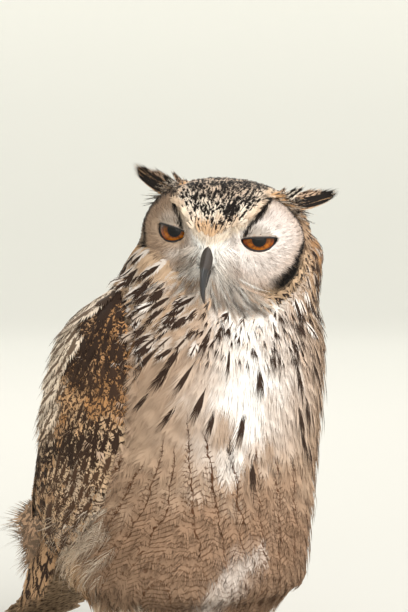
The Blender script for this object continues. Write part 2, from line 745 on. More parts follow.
class Markings:
    """The bird's markings as functions of place, which skin and feathers share."""

    def __init__(self, skin: SkinField) -> None:
        """Keeps the skin, whose shapes give the places."""
        self.skin = skin

    def at(self, points: Array) -> Marks:
        """The marks at places on or near the skin, from the region that is nearest to each."""
        nearest = np.argmin(np.stack(list(self.skin.parts(points).values())), axis=0)
        made = self.trunk(points)
        for region, paint in ((Region.HEAD, self.head), (Region.WING, self.wing), (Region.LEG, self.leg),
                              (Region.TAIL, self.tail)):
            share = (nearest == region.value).astype(float)
            made = Marks.combined(lambda old, new: blend(share, old, new), made, paint(points))
        return made

    def trunk(self, points: Array) -> Marks:
        """White breast between buff sides, tan barred belly, and a brown mottled back."""
        height = points[:, 2]
        across, _, middle, _ = self.skin.trunk.section(height)
        turn = np.degrees(np.arctan2(points[:, 0] - across, middle - points[:, 1]))
        side = np.abs(turn)
        cloud = grain(points, 0.013, 3) - 0.5
        breast = bell(-9, 18, turn + 24 * cloud) * ease(0.140, 0.214, height + 0.06 * cloud)
        gap = bell(-14 + (height - 0.07) * 420, 9, turn + 8 * cloud) * ease(0.112, 0.092, height)
        gap = gap * ease(0.03, 0.05, height)
        neck = ease(0.250, 0.272, height)
        back = ease(88, 112, side)
        return Marks.plain(len(points), Tint.MILK, Tint.BAR, (0.0, 0.0, 0.0), (10, 0.5, 0.15)).painted(
            (0.60 + 0.38 * ease(20, 50, side + 20 * cloud), Tint.BUFF),
            (ease(0.215, 0.200, height), None, None, (1.0, 1.0, 0.0)),
            (0.9 * ease(0.212, 0.160, height + 0.05 * cloud), Tint.BUFF),
            (ease(0.168, 0.112, height + 0.06 * cloud), Tint.FAWN),
            (0.8 * ease(0.115, 0.060, height + 0.03 * cloud), Tint.HEM),
            (np.clip(1.3 * breast, 0, 1), Tint.WHITE),
            (0.60 * gap, Tint.MILK, None, (0.0, 0.0, 0.0)),
            (0.5 * neck * ease(30, 55, side), Tint.SAND, Tint.DARK, (0.20, 0.2, 0.2)),
            (0.8 * ease(0.272, 0.290, height) * ease(44, 66, turn), Tint.RUST, Tint.DARK, (0.30, 0.2, 0.45),
             (4, 0.5, 0.4)),
            (back, Tint.ORANGE, Tint.DARK, (0.34, 0.75, 0.70), (4, 0.5, 0.45)),
            (back * ease(0.16, 0.11, height), Tint.SAND, Tint.BAR, (0.10, 0.9, 0.4), (7, 0.5, 0.3)))

    def head(self, points: Array) -> Marks:
        """Pale discs with black rims, a speckled dark crown in a V, a white chin and a buff, streaked nape."""
        toward = unit(self.skin.head.to_local(points))
        near = np.stack([np.abs(toward[:, 0]), toward[:, 1], toward[:, 2]], axis=1)
        x, y, z = near.T
        cloud = grain(points, 0.0045, 7) - 0.5
        away = np.degrees(np.arccos(np.clip(near @ HeadAxes.EYE, -1, 1)))
        above = HeadAxes.above(near) + 0.035 * cloud
        beside = ease(0.42, 0.12, y) * ease(0.62, 0.45, z)
        rim_at = 36.0 + 5.0 * ease(0.0, 0.28, z) + 3.0 * ease(-0.08, -0.40, z)
        rim_at = rim_at + np.where(toward[:, 0] > 0, 0.0, -6.5)
        disc = ease(rim_at + 2.0, rim_at - 1.0, away + 2 * cloud) * ease(0.20, 0.0, y)
        chin = ease(-0.16, -0.42, z) * ease(0.72, 0.50, x) * ease(0.15, -0.2, y)
        width = 2.6 + 3.4 * ease(0.0, -0.20, z)
        rim = np.clip(1.9 * bell(0, 1, (away - rim_at - 1.5 + 2.2 * cloud) / width) - 0.3, 0, 1)
        inner = 0.50 + 0.22 * ease(0.10, -0.10, z)
        rim = rim * ease(0.0, 0.12, x - inner) * ease(0.80, 0.66, z) * ease(-0.50, -0.36, z)
        crown = ease(0.035, 0.070, above) * ease(0.62, 0.45, y)
        point = ease(0.66, 0.44, z + 0.16 * cloud) * ease(-0.5, -0.75, y)
        border = np.clip(1.6 * bell(0.0, 0.055, above), 0, 1) * ease(0.50, 0.20, y)
        dark = np.clip(1.9 * bell(0.0, 0.055, HeadAxes.brow_mark(near) + 0.03 * cloud) - 0.3, 0, 1)
        return Marks.plain(len(points), Tint.ORANGE, Tint.DARK, (0.34, 0.0, 0.40), (3, 0.5, 0.4)).painted(
            (0.8 * beside, Tint.BUFF, Tint.DARK, (0.26, 0.0, 0.30)),
            (0.8 * beside * ease(0.05, -0.15, z), Tint.SAND, None, (0.44, 0.0, 0.45)),
            (0.6 * beside * ease(0.0, -0.3, toward[:, 0]), Tint.GREY, Tint.DARK, (0.55, 0.0, 0.55)),
            (disc, Tint.DISC, Tint.GREY, (0.0, 0.0, 0.0)),
            (0.45 * disc * bell(0, 1, (away - rim_at) / 8), Tint.TAN),
            (0.95 * disc * ease(-0.1, -0.5, toward[:, 0]), Tint.BUFF),
            (ease(0.50, 0.15, x) * ease(-0.50, -0.80, y), Tint.WHITE),
            (0.25 * ease(24, 15, away) * ease(0.30, 0.44, z), Tint.WHITE),
            (0.75 * ease(18, 13, away) * ease(-0.02, 0.05, z - HeadAxes.EYE[2]), Tint.GREY),
            (0.5 * bell(20, 6, away) * ease(0.2, 0.0, z) * ease(0.8, 0.6, x), Tint.WHITE),
            (chin, Tint.MILK, Tint.DARK, (0.0, 0.0, 0.05)),
            (rim * ease(0.34, 0.16, y), Tint.BLACK, Tint.BLACK, (0.5, 0.0, 0.0)),
            (crown, Tint.CREAM, Tint.BLACK, (0.42, 0.75, 0.64), (2.6, 0.5, 0.43)),
            (0.7 * crown * ease(0.72, 0.90, z), Tint.BUFF, Tint.BLACK, (0.52, 0.8, 0.65), (2.6, 0.5, 0.44)),
            (0.92 * point * crown, Tint.ORANGE, Tint.DARK, (0.14, 0.0, 0.35)),
            (border, Tint.CREAM, Tint.DARK, (0.0, 0.0, 0.10)),
            (0.5 * border * ease(0.5, 0.7, z), Tint.ORANGE),
            (dark, Tint.BLACK, Tint.CREAM, (0.0, 0.0, 0.12)))

    def wing(self, points: Array) -> Marks:
        """Dark, flecked shoulder, barred buff middle, chequered edge of the coverts, and a pale rear edge."""
        height = points[:, 2]
        side = np.where(points[:, 0] >= 0, 1, -1)
        share = np.zeros(len(points))
        for sign, wing in self.skin.wings.items():
            x, y, width, _, bend, facing = wing.section(np.clip(height, 0.04, 0.29))
            across = (np.arctan2(points[:, 1] - y, points[:, 0] * sign - x) - facing) * bend / width
            share = np.where(side == sign, across, share)
        cloud = grain(points, 0.011, 11) - 0.5
        patch = grain(points, 0.017, 12)
        level = height + 0.034 * cloud + 0.014 * share
        front = ease(-0.60, -0.86, share + 0.2 * cloud) * ease(0.198, 0.214, height)
        pale = ease(-0.26, -0.10, share + 0.16 * cloud) * ease(0.164, 0.200, height + 0.02 * cloud)
        return Marks.plain(len(points), Tint.RUST, Tint.UMBER, (0.0, 1.0, 0.40), (3.4, 0.5, 0.44)).painted(
            (0.5 * ease(0.50, 0.70, patch), Tint.ORANGE),
            (ease(0.200, 0.222, level), Tint.RUST, Tint.DARK, (0.28, 1.0, 0.95), (4, 0.5, 0.84)),
            (ease(0.190, 0.170, level), Tint.SAND, Tint.DARK, (0.30, 1.0, 0.80), (4, 0.5, 0.68)),
            (ease(0.160, 0.142, level), Tint.SAND, Tint.UMBER, (0.20, 1.0, 0.55), (9, 0.5, 0.32)),
            (0.35 * ease(0.55, 0.75, patch), Tint.SAND),
            (0.6 * ease(0.45, 0.25, patch) * ease(0.19, 0.16, level), Tint.GREY),
            (0.6 * front, None, Tint.DARK, (0.50, 1.0, 0.8), (5, 0.5, 0.6)),
            (0.85 * pale, Tint.CREAM, Tint.SMOKE, (0.26, 0.35, 0.30), (3.4, 0.5, 0.28)))

    def leg(self, points: Array) -> Marks:
        """Pale buff, with faint bars on the toes."""
        cloud = grain(points, 0.006, 5) - 0.5
        made = Marks.plain(len(points), Tint.CREAM, Tint.BAR, (0.0, 0.25, 0.15), (3, 0.5, 0.25))
        return made.paint(np.clip(0.5 + cloud, 0, 1), Tint.SAND)

    def tail(self, points: Array) -> Marks:
        """Buff with broad dark bands."""
        return Marks.plain(len(points), Tint.SAND, Tint.DARK, (0.05, 0.85, 0.5), (8, 0.5, 0.45))


# ---- Feathers


@dataclass(frozen=True)
class Vane:
    """How a feather is built up of barb locks.

    Each side has this many locks, which leave the shaft from start onward, run forward by a share of the length
    and end on the outline. bulge above 1 puts the widest place further out, cup bends the edges down, ragged
    varies the locks' ends, overlap is a lock's width as a share of their spacing, and curl lifts the tip by a
    share of the length.
    """

    barbs: int = 10
    steps: int = 4
    forward: float = 0.22
    start: float = 0.06
    bulge: float = 1.25
    cup: float = 0.25
    ragged: float = 0.05
    overlap: float = 1.25
    curl: float = 0.0

    def outline(self, share: Array) -> Array:
        """Half width at shares of the length: half an ellipse, drawn towards the tip."""
        share = np.clip(share, 0, 1) ** self.bulge
        return np.sqrt(np.clip(1 - (2 * share - 1) ** 2, 0, 1))


@dataclass
class Growth:
    """The mesh of some feathers."""

    vertices: Array
    faces: Array
    vane_uv: Array
    patch_uv: Array
    marks: Marks

    @staticmethod
    def joined(parts: Sequence[Growth]) -> Growth:
        """Several growths as one."""
        offsets = np.cumsum([0] + [len(part.vertices) for part in parts])
        vertices, vane_uv, patch_uv = (np.concatenate([getattr(part, key) for part in parts])
                                       for key in ("vertices", "vane_uv", "patch_uv"))
        faces = np.concatenate([part.faces + offset for part, offset in zip(parts, offsets)])
        marks = Marks.combined(lambda *arrays: np.concatenate(arrays), *(part.marks for part in parts))
        return Growth(vertices, faces, vane_uv, patch_uv, marks)


def combed(path: Array, up: Array, place: Array, half_width: Array | float, marks: Marks, vane: Vane,
           seed: int) -> Growth:
    """Feathers along given shafts.

    A lock starts on the shaft with two corners, has two more at 0.6 of its reach and ends in a point. A place at
    share s along and t across stands at shaft(s) + across(s) t w - over(s) cup w t squared, with w the half width.

    Args:
        path: the shafts, shaped (feathers, stations, 3).
        up: directions away from the body at the stations.
        place: their places on the coat's map.
        half_width: their half widths.
        marks: their marks.
        vane: how the feathers are built.
        seed: for the locks' variation.

    Returns:
        The mesh, three triangles for each lock.
    """
    rng = seeded(seed)
    count, stations = path.shape[:2]
    steps = stations - 1
    ahead = unit(np.gradient(path, axis=1))
    across = unit(np.cross(ahead, up))
    over = np.cross(across, ahead)
    share = (np.arange(vane.barbs) + 0.5) / vane.barbs
    spacing = (0.90 - vane.start) / vane.barbs
    base = vane.start + (0.90 - vane.start) * share
    tip = np.minimum(base + vane.forward * (0.75 + 0.5 * share), 1.0)
    reach = vane.outline(tip)
    half = spacing * vane.overlap / 2
    bow = base + 0.42 * (tip - base)
    along = np.stack([base - half, base + half, bow + half, bow - half, tip], axis=-1)
    outward = np.stack([0 * reach, 0 * reach, 0.62 * reach, 0.62 * reach, reach], axis=-1)
    shape = (count, 2, vane.barbs, 5)  # feather, side, lock, corner
    free = np.array([0, 0, 0.5, 0.5, 1.0])
    slip = rng.normal(0, vane.ragged, shape[:3])[..., None] * free
    stretch = 1 + rng.normal(0, 1.6 * vane.ragged, shape[:3])[..., None] * free
    along = np.broadcast_to(along, shape) + slip
    outward = np.broadcast_to(outward, shape) * stretch
    sign = np.array([1.0, -1.0])[None, :, None, None]
    index = np.clip((along * steps).astype(int), 0, steps - 1)
    part = (along * steps - index)[..., None]
    rows = np.arange(count)[:, None, None, None]

    def between(values: Array) -> Array:
        """Station values at the locks' corners."""
        return values[rows, index] * (1 - part) + values[rows, index + 1] * part

    width = np.broadcast_to(half_width, count)[:, None, None, None, None]
    tilt = np.array([1.0, -1.0, -1.0, 1.0, 0.0]) * 0.00010
    drop = -vane.cup * outward[..., None] ** 2 * width + tilt[:, None]
    vertices = between(path) + between(across) * (outward * sign)[..., None] * width + between(over) * drop
    corners = np.arange(math.prod(shape)).reshape(shape)
    triangles = np.array([[0, 1, 2], [0, 2, 3], [3, 2, 4]])
    right = corners[:, 0][..., triangles[:, ::-1]]
    left = corners[:, 1][..., triangles]
    faces = np.concatenate([right.reshape(-1, 3), left.reshape(-1, 3)])
    signed = outward * sign
    vane_uv = np.stack([signed, along], axis=-1).reshape(-1, 2)
    patch = place[:, None, None, None, :] + np.stack([signed * 0.5, along - 0.5], axis=-1) * PATCH
    marks = Marks.combined(lambda values: np.repeat(values, math.prod(shape[1:]), axis=0), marks)
    return Growth(vertices.reshape(-1, 3), faces, vane_uv, patch.reshape(-1, 2), marks)


def rows_on(spot: Surface, low: float, high: float, rows: Array, spacing: float,
            rng: np.random.Generator) -> tuple[Array, Array]:
    """Staggered places in rows on a surface of two parameters.

    Args:
        spot: the surface.
        low: the first parameter's start.
        high: and its end.
        rows: the second parameter's values.
        spacing: the distance between places.
        rng: for their jitter.

    Returns:
        Both parameters of each place.
    """
    fine = np.linspace(low, high, 160)
    first, second = [], []
    for number, row in enumerate(rows):
        line = spot(fine, np.full(len(fine), row))
        run = np.concatenate([[0], np.cumsum(norm(np.diff(line, axis=0), axis=1))])
        count = max(int(run[-1] / spacing), 1)
        at = (np.arange(count) + 0.5 * (number % 2) + rng.uniform(-0.22, 0.22, count)) / count
        first.append(np.interp(at * run[-1], run, fine))
        step = rows[1] - rows[0] if len(rows) > 1 else 0.0
        second.append(row + step * rng.uniform(-0.22, 0.22, count))
    return np.concatenate(first), np.concatenate(second)


def downward(spot: Surface, a: Array, b: Array, sideways: Array) -> Array:
    """Directions on a surface of turn and height: down, with a share sideways towards greater turn."""
    step = 0.001
    down = unit(spot(a, b - step) - spot(a, b + step))
    side = unit(spot(a + step, b) - spot(a - step, b))
    return unit(down + sideways[:, None] * side)


def varied(marks: Marks, rng: np.random.Generator, amount: float = 0.07, spread: float = 0.18) -> Marks:
    """Marks whose brightness, streaks and seed vary from feather to feather."""
    count = len(marks)
    light = 1 + rng.normal(0, amount, (count, 1))
    pattern = marks.pattern * np.clip(1 + rng.normal(0, spread, (count, 1)), 0.2, 1.8)
    detail = marks.detail.copy()
    detail[:, 1] = rng.uniform(0, 1, count)
    detail[:, 0] *= rng.uniform(0.80, 1.20, count)
    detail[:, 2] *= rng.uniform(0.70, 1.25, count)
    return Marks(np.clip(marks.ground * light, 0, 1), marks.mark, pattern, detail)


# ---- Shader nodes


def operation(kind: str, swapped: bool = False) -> Callable[..., Wire]:
    """A socket's method that adds a Math node of this kind, for its value and others, or for them swapped."""
    def apply(self: Wire, *others: Wire | float) -> Wire:
        """The result."""
        values = (self, *others)[::-1] if swapped else (self, *others)
        return self.nodes.make("ShaderNodeMath", {"operation": kind}, dict(enumerate(values)))
    return apply


class Wire:
    """A shader socket that takes part in arithmetic, which adds Math nodes."""

    __add__ = __radd__ = operation("ADD")
    __mul__ = __rmul__ = operation("MULTIPLY")
    __sub__, __rsub__ = operation("SUBTRACT"), operation("SUBTRACT", True)
    __truediv__, __rtruediv__ = operation("DIVIDE"), operation("DIVIDE", True)
    __abs__, larger, sine = operation("ABSOLUTE"), operation("MAXIMUM"), operation("SINE")
    fraction, floor, turn_from = operation("FRACT"), operation("FLOOR"), operation("ARCTAN2")

    def __init__(self, nodes: Nodes, socket: bpy.types.NodeSocket) -> None:
        """Keeps the node tree's helper and the socket."""
        self.nodes, self.socket = nodes, socket

    def eased(self, low: float | Wire, high: float | Wire) -> Wire:
        """A smooth step from 0 at low to 1 at high."""
        return self.nodes.make("ShaderNodeMapRange", {"interpolation_type": "SMOOTHSTEP"},
                               dict(enumerate((self, low, high, 0.0, 1.0))))


class Nodes:
    """A material under construction."""

    def __init__(self, name: str, **constants: float | Numbers) -> None:
        """Makes a material whose shader's sockets hold these constants, named with _ for a space."""
        self.material = bpy.data.materials.new(name)
        self.material.use_nodes = True
        self.tree = self.material.node_tree
        self.shader = self.tree.nodes["Principled BSDF"]
        for key, value in constants.items():
            self.shader.inputs[key.replace("_", " ")].default_value = value

    def make(self, kind: str, settings: dict[str, object] | None = None,
             inputs: dict[int | str, object] | None = None, output: int | str = 0) -> Wire:
        """Adds a node.

        Args:
            kind: its type.
            settings: its properties, which are set first.
            inputs: values or wires for its sockets.
            output: the socket that is wanted.

        Returns:
            That output.
        """
        node = self.tree.nodes.new(kind)
        for key, value in (settings or {}).items():
            setattr(node, key, value)
        for key, value in (inputs or {}).items():
            if isinstance(value, Wire):
                self.tree.links.new(value.socket, node.inputs[key])
            else:
                node.inputs[key].default_value = value
        return Wire(self, node.outputs[output])

    def feed(self, socket: str, value: Wire) -> None:
        """Links a wire to a socket of the shader."""
        self.tree.links.new(value.socket, self.shader.inputs[socket])

    def attribute(self, name: str) -> Wire:
        """A colour or vector attribute."""
        return self.make("ShaderNodeAttribute", {"attribute_name": name}, output="Vector")

    def split(self, vector: Wire) -> list[Wire]:
        """A vector's three numbers."""
        made = self.make("ShaderNodeSeparateXYZ", None, {0: vector})
        return [Wire(self, made.socket.node.outputs[n]) for n in range(3)]

    def uv(self, name: str) -> list[Wire]:
        """A UV map's two numbers."""
        return self.split(self.make("ShaderNodeUVMap", {"uv_map": name}))[:2]

    def place(self) -> Wire:
        """Object coordinates."""
        return self.make("ShaderNodeTexCoord", None, None, "Object")

    def noise(self, at: Wire, scale: float, detail: float = 2.0) -> Wire:
        """Noise from 0 to 1."""
        return self.make("ShaderNodeTexNoise", None, {"Vector": at, "Scale": scale, "Detail": detail})

    def vector(self, x: Wire | float, y: Wire | float, z: Wire | float) -> Wire:
        """A vector of three numbers."""
        return self.make("ShaderNodeCombineXYZ", None, {0: x, 1: y, 2: z})

    def mix(self, share: Wire | float, start: Wire | Numbers, end: Wire | Numbers,
            how: str = "MIX") -> Wire:
        """Two colours mixed by a share."""
        def whole(colour: Wire | Numbers) -> Wire | tuple[float, ...]:
            """A colour with its fourth number."""
            return colour if isinstance(colour, Wire) else (*map(float, colour), 1.0)
        return self.make("ShaderNodeMix", {"data_type": "RGBA", "blend_type": how},
                         {0: share, 6: whole(start), 7: whole(end)}, 2)

    def shaded(self, colour: Wire, depth: Wire) -> Wire:
        """A colour darkened or lightened by a factor."""
        return self.mix(1.0, colour, self.vector(depth, depth, depth), "MULTIPLY")

    def bump(self, height: Wire, distance: float, strength: float = 1.0) -> None:
        """Raises the surface by a height of this many metres."""
        made = self.make("ShaderNodeBump", None, {"Strength": strength, "Distance": distance, "Height": height})
        self.feed("Normal", made)


class Pattern(Enum):
    """Where a feather's marks are drawn: in its own vane, or over the belly as a whole."""

    VANE = "vane"
    BELLY = "belly"


@dataclass(frozen=True)
class PlumageFinish:
    """The feathers' finish: ground colour, shaft streak, bars and mottling."""

    pattern: Pattern = Pattern.VANE
    belly_middle: Pair = (-0.0005, -0.0572)
    column: float = 11.5
    bars_to_metre: float = 245.0

    def vane_marks(self, nodes: Nodes) -> Wire:
        """A spindle along the shaft, wavy bars across the vane, and flecks in the body's own coordinates."""
        across, along = nodes.uv("Vane")
        streak, bars, mottle = nodes.split(nodes.attribute("Pattern"))
        count, seed, duty = nodes.split(nodes.attribute("Detail"))
        out = abs(across)
        cloud = nodes.noise(nodes.vector(across * 1.3, along * count * 0.9, seed * 97.0), 1.4, 3.0)
        spindle = along.eased(0.24, 0.60) * along.eased(1.0, 0.76)
        wide = streak * spindle * 1.15 + (cloud - 0.5) * 0.22 * streak.eased(0.0, 0.25)
        shaft = (wide - out).eased(-0.05, 0.06) * streak.eased(0.0, 0.03) * spindle.eased(0.0, 0.12)
        wave = ((along * count + out * 0.80 + (cloud - 0.5) * 2.4 + seed) * 6.2832).sine()
        reach = (bars * 1.15 - out + (cloud - 0.5) * 0.3).eased(-0.06, 0.16)
        band = (wave - 1.0 + duty * 2.0).eased(-0.25, 0.45) * reach * bars.eased(0.0, 0.12)
        x, y, z = nodes.split(nodes.place())
        fleck = nodes.noise(nodes.vector(x + seed * 0.05, y, z * 1.2), 300.0, 2.0)
        speckle = (fleck - 1.0 + mottle * 0.62).eased(-0.08, 0.10) * mottle
        return shaft.larger(band).larger(speckle)

    def belly_marks(self, nodes: Nodes) -> Wire:
        """A herringbone over the belly: thorny lines that fan out downward, joined by shallow, broken Vs.

        A line is where the turn about the body, less its drift with depth, is a multiple of the column's width.
        A bar is where height less the distance from the nearest line is a multiple of the bars' spacing.
        """
        x, y, z = nodes.split(nodes.place())
        strength = nodes.split(nodes.attribute("Pattern"))[1]
        seed = nodes.split(nodes.attribute("Detail"))[1]
        cloud, fine = (nodes.noise(nodes.place(), scale, 2.0) - 0.5 for scale in (55.0, 330.0))
        turn = (x - self.belly_middle[0]).turn_from(self.belly_middle[1] - y) * 57.2958
        drift = 0.12 - turn.eased(-26.0, -58.0) * 0.50
        place = (turn - drift * (0.13 - z) * 1000.0 + cloud * 7.0 + fine * 2.6) / self.column + 20.37
        away = abs(place.fraction() - 0.5) * 2.0
        chance = nodes.noise(nodes.vector(place.floor() * 3.7, 1.3, 0.5), 1.0, 0.0)
        depth = chance * 0.16 + 0.097 - z
        line = (0.08 + fine * 0.30 - away - depth * 0.45).eased(-0.05, 0.04) * depth.eased(-0.004, 0.006)
        phase = z * self.bars_to_metre - away * 1.15 + cloud * 2.6 + fine * 1.1 + chance * 9.0
        wave = (phase * 6.2832).sine()
        reach = (depth * 17.0 + 0.10 + fine * 0.5 - away).eased(-0.08, 0.12) * depth.eased(-0.002, 0.006)
        gaps = (nodes.noise(nodes.place(), 170.0, 1.0) + seed * 0.06).eased(0.34, 0.46)
        bar = (wave - 0.70).eased(-0.20, 0.28) * reach * gaps * 0.78
        return line.larger(bar) * strength.eased(0.2, 0.8)

    def material(self) -> Material:
        """A soft, dull vane with its marks, and fine barbs as bump."""
        nodes = Nodes(f"{self.pattern.value}_feather", Roughness=0.8, Specular_IOR_Level=0.16,
                      Sheen_Weight=0.03, Sheen_Roughness=0.5)
        across, along = nodes.uv("Vane")
        seed = nodes.split(nodes.attribute("Detail"))[1]
        out = abs(across)
        mask = self.belly_marks(nodes) if self.pattern is Pattern.BELLY else self.vane_marks(nodes)
        colour = nodes.mix(mask, nodes.attribute("Ground"), nodes.attribute("Mark"))
        hair = nodes.noise(nodes.vector((along - out * 0.30) * 70.0, out * 2.5, seed * 53.0), 1.0, 2.0)
        depth = 0.86 + along.eased(0.10, 0.80) * 0.07 + hair * 0.14
        nodes.feed("Base Color", nodes.shaded(colour, depth))
        nodes.bump(hair, 0.00020, 0.6)
        return nodes.material


class SkinFinish:
    """The skin under the coat: the same markings, duller, with a downy bump."""

    def material(self) -> Material:
        """Ground and mark colours, mixed by how much of the coat the marks cover, in soft clouds."""
        nodes = Nodes("down", Roughness=0.9, Specular_IOR_Level=0.15)
        streak, bars, mottle = nodes.split(nodes.attribute("Pattern"))
        _, _, duty = nodes.split(nodes.attribute("Detail"))
        spot = nodes.place()
        cloud = nodes.noise(spot, 260.0, 4.0)
        cover = streak * 0.8 + bars * duty * 0.7 + mottle * 0.35
        mask = (cloud - 1.0 + cover * 0.9).eased(-0.35, 0.2) * cover.eased(0.0, 0.3)
        colour = nodes.mix(mask, nodes.attribute("Ground"), nodes.attribute("Mark"))
        shade = 0.82 + cloud * 0.25
        nodes.feed("Base Color", nodes.shaded(colour, shade))
        nodes.bump(nodes.noise(spot, 900.0, 2.0), 0.0006, 0.5)
        return nodes.material


# ---- The skin


@dataclass
class Eyelids:
    """The opening of an eye, and places about it, in axes of that eye."""

    side: int
    head: HeadShape
    upper: float = 0.0020
    lower: float = 0.0068
    half_opening: float = 0.0130
    gaze: tuple[float, float, float] = (0.40, -0.91, 0.10)

    def frame(self) -> tuple[Array, Array]:
        """The eye's centre, and its axes as rows, in body coordinates: outward across, up, and forward."""
        flip = np.array([self.side, 1, 1])
        forward = unit(np.array(self.gaze) * flip)
        outward = unit(np.cross(forward, np.array([0.06 * self.side, 0, 1])) * -self.side)
        up = unit(np.cross(forward, outward) * self.side)
        centre = self.head.to_body(self.head.eye * flip)
        up = up if up[2] > 0 else -up
        return centre, self.head.turned(np.stack([outward, up, forward]))

    def local(self, points: Array) -> Array:
        """Body coordinates as the eye's own."""
        centre, axes = self.frame()
        return (points - centre) @ axes.T

    def edge(self, across: Array) -> tuple[Array, Array]:
        """Heights of the upper and lower lid's edges: a low arch that slopes to the bill, and a deep one."""
        share = np.clip(across / self.half_opening, -1, 1)
        slope = 0.0011 * share
        high = self.upper * (1 - np.abs(share) ** 3.2) + slope
        low = -self.lower * (1 - share**2) ** 0.72 + slope
        return high, low

    def outside(self, points: Array, grow: float = 0.0) -> Array:
        """Distance outside the opening, widened by grow, seen along the eye's axis; large behind the eye."""
        local = self.local(points)
        high, low = self.edge(local[:, 0])
        over = np.maximum(local[:, 1] - high, low - local[:, 1])
        beyond = np.abs(local[:, 0]) - self.half_opening
        away = np.where(beyond > 0, np.hypot(np.maximum(over, 0), beyond), over) - grow
        return np.where(local[:, 2] > 0, away, 0.02)


class Skin:
    """The one skin over the whole bird.

    It is worked out in cells of STEP near the surface, and COARSE times as large elsewhere. An eye's opening is
    SLACK wider than its lids, and reaches in to a ball of radius POCKET. Nothing comes below SOLE.
    """

    STEP = 0.0021
    COARSE = 4
    POCKET, SLACK, SOLE = 0.0125, 0.0012, 0.0006
    NODES = ("head", "neck", "trunk", "tail",
             *(f"wing_{side}_{part}" for _, side in SIDES for part in ("coverts", "secondaries", "primaries")),
             *(f"{part}_{side}" for _, side in SIDES for part in ("thigh", "shank")),
             *(f"toe_{side}_{toe[0]}" for _, side in SIDES for toe in TOES))

    def __init__(self, shape: SkinField, lids: Sequence[Eyelids], markings: Markings) -> None:
        """Keeps the field, the lids whose openings are cut out, and the markings."""
        self.shape, self.lids, self.markings = shape, lids, markings

    def carved(self, points: Array) -> Array:
        """The field with the eyes' openings cut out and the feet kept off the floor."""
        away = self.shape.distance(points)
        for lid in self.lids:
            centre, _ = lid.frame()
            deep = self.POCKET - norm(points - centre, axis=-1)
            away = np.maximum(away, -np.maximum(lid.outside(points, self.SLACK), deep))
        return np.maximum(away, self.SOLE - points[:, 2])

    def grid(self) -> tuple[Array, Array]:
        """The carved field on a grid, and the grid's first corner."""
        low, high = np.array([-0.125, -0.125, -0.004]), np.array([0.125, 0.225, 0.385])
        times = self.COARSE
        cells = np.ceil((high - low) / (self.STEP * times)).astype(int)
        axes = [low[n] + self.STEP * times * (np.arange(cells[n]) + 0.375) for n in range(3)]
        coarse_at = np.stack(np.meshgrid(*axes, indexing="ij"), axis=-1)
        coarse = self.carved(coarse_at.reshape(-1, 3)).reshape(cells)
        values = coarse.repeat(times, 0).repeat(times, 1).repeat(times, 2)
        near = np.argwhere(np.abs(values) < self.STEP * times * 1.9)
        values[tuple(near.T)] = self.carved(low + near * self.STEP)
        return values, low

    def build(self) -> Piece:
        """The skin's mesh with its markings as attributes."""
        values, low = self.grid()
        vertices, faces = net(values, low, self.STEP)
        vertices, faces = largest_body(vertices, faces)
        for _ in range(2):
            slope = gradient(self.carved, vertices, 0.0006)
            steepness = np.maximum(np.sum(slope**2, axis=1, keepdims=True), 0.3)
            move = self.carved(vertices)[:, None] * slope / steepness
            vertices = vertices - np.clip(move, -self.STEP / 2, self.STEP / 2)
        vertices[:, 2] = np.maximum(vertices[:, 2], 0.0005)
        marks = self.markings.at(vertices)
        made = make_object("skin", vertices, faces, marks.attributes())
        return install(made, SkinFinish().material(), self.NODES)


def largest_body(vertices: Array, faces: Array) -> tuple[Array, Array]:
    """The largest part of a mesh that hangs together, found by spreading the lowest label."""
    label = np.arange(len(vertices))
    while True:
        lowest = label[faces].min(axis=1)
        new = label.copy()
        for corner in range(faces.shape[1]):
            np.minimum.at(new, faces[:, corner], lowest)
        new = new[new]
        if np.array_equal(new, label):
            break
        label = new
    names, counts = np.unique(label, return_counts=True)
    keep = label == names[np.argmax(counts)]
    number = np.cumsum(keep) - 1
    return vertices[keep], number[faces[keep[faces[:, 0]]]]


# ---- The coat


class Patch(Enum):
    """Corners of each region's own ground on the coat's map, in metres."""

    TRUNK = (0.31, 0.02)
    HEAD = (0.20, 0.50)
    LEFT_WING = (0.78, 0.04)
    RIGHT_WING = (0.78, 0.36)
    TAIL = (0.52, 0.42)
    LEFT_LEG = (0.42, 0.68)
    RIGHT_LEG = (0.60, 0.68)
    TUFTS = (0.20, 0.72)

    @classmethod
    def of(cls, part: str, side: int) -> Array:
        """The corner for the wing or leg on this side."""
        return np.array(cls[f"{'LEFT' if side > 0 else 'RIGHT'}_{part}"].value)


SILK = Vane(barbs=13, steps=4, forward=0.48, ragged=0.035, overlap=1.45, cup=0.10)
SOFT = Vane(barbs=20, steps=5, forward=0.34, ragged=0.04, overlap=1.45, cup=0.15)
FIRM = Vane(barbs=12, steps=4, forward=0.22, ragged=0.04)
HAIR = Vane(barbs=3, steps=4, forward=0.55, start=0.08, ragged=0.07, overlap=1.00, cup=0.15)
PLUME = Vane(barbs=20, steps=6, forward=0.36, start=0.05, ragged=0.10, overlap=0.30, cup=0.10)
DOWNY = Vane(barbs=9, steps=4, forward=0.42, ragged=0.05, overlap=1.40, cup=0.20)
SHORT = Vane(barbs=7, steps=3, forward=0.28, ragged=0.06, bulge=1.25, overlap=1.40)
CURLED = Vane(barbs=16, steps=5, forward=0.20, ragged=0.03, overlap=1.40, curl=0.11)
BLADE = Vane(barbs=24, steps=8, forward=0.13, bulge=0.85, cup=0.35, ragged=0.005, overlap=1.50)
FLIGHT = Vane(barbs=46, steps=12, forward=0.10, start=0.02, bulge=1.1, cup=0.10, ragged=0.008, overlap=1.3)


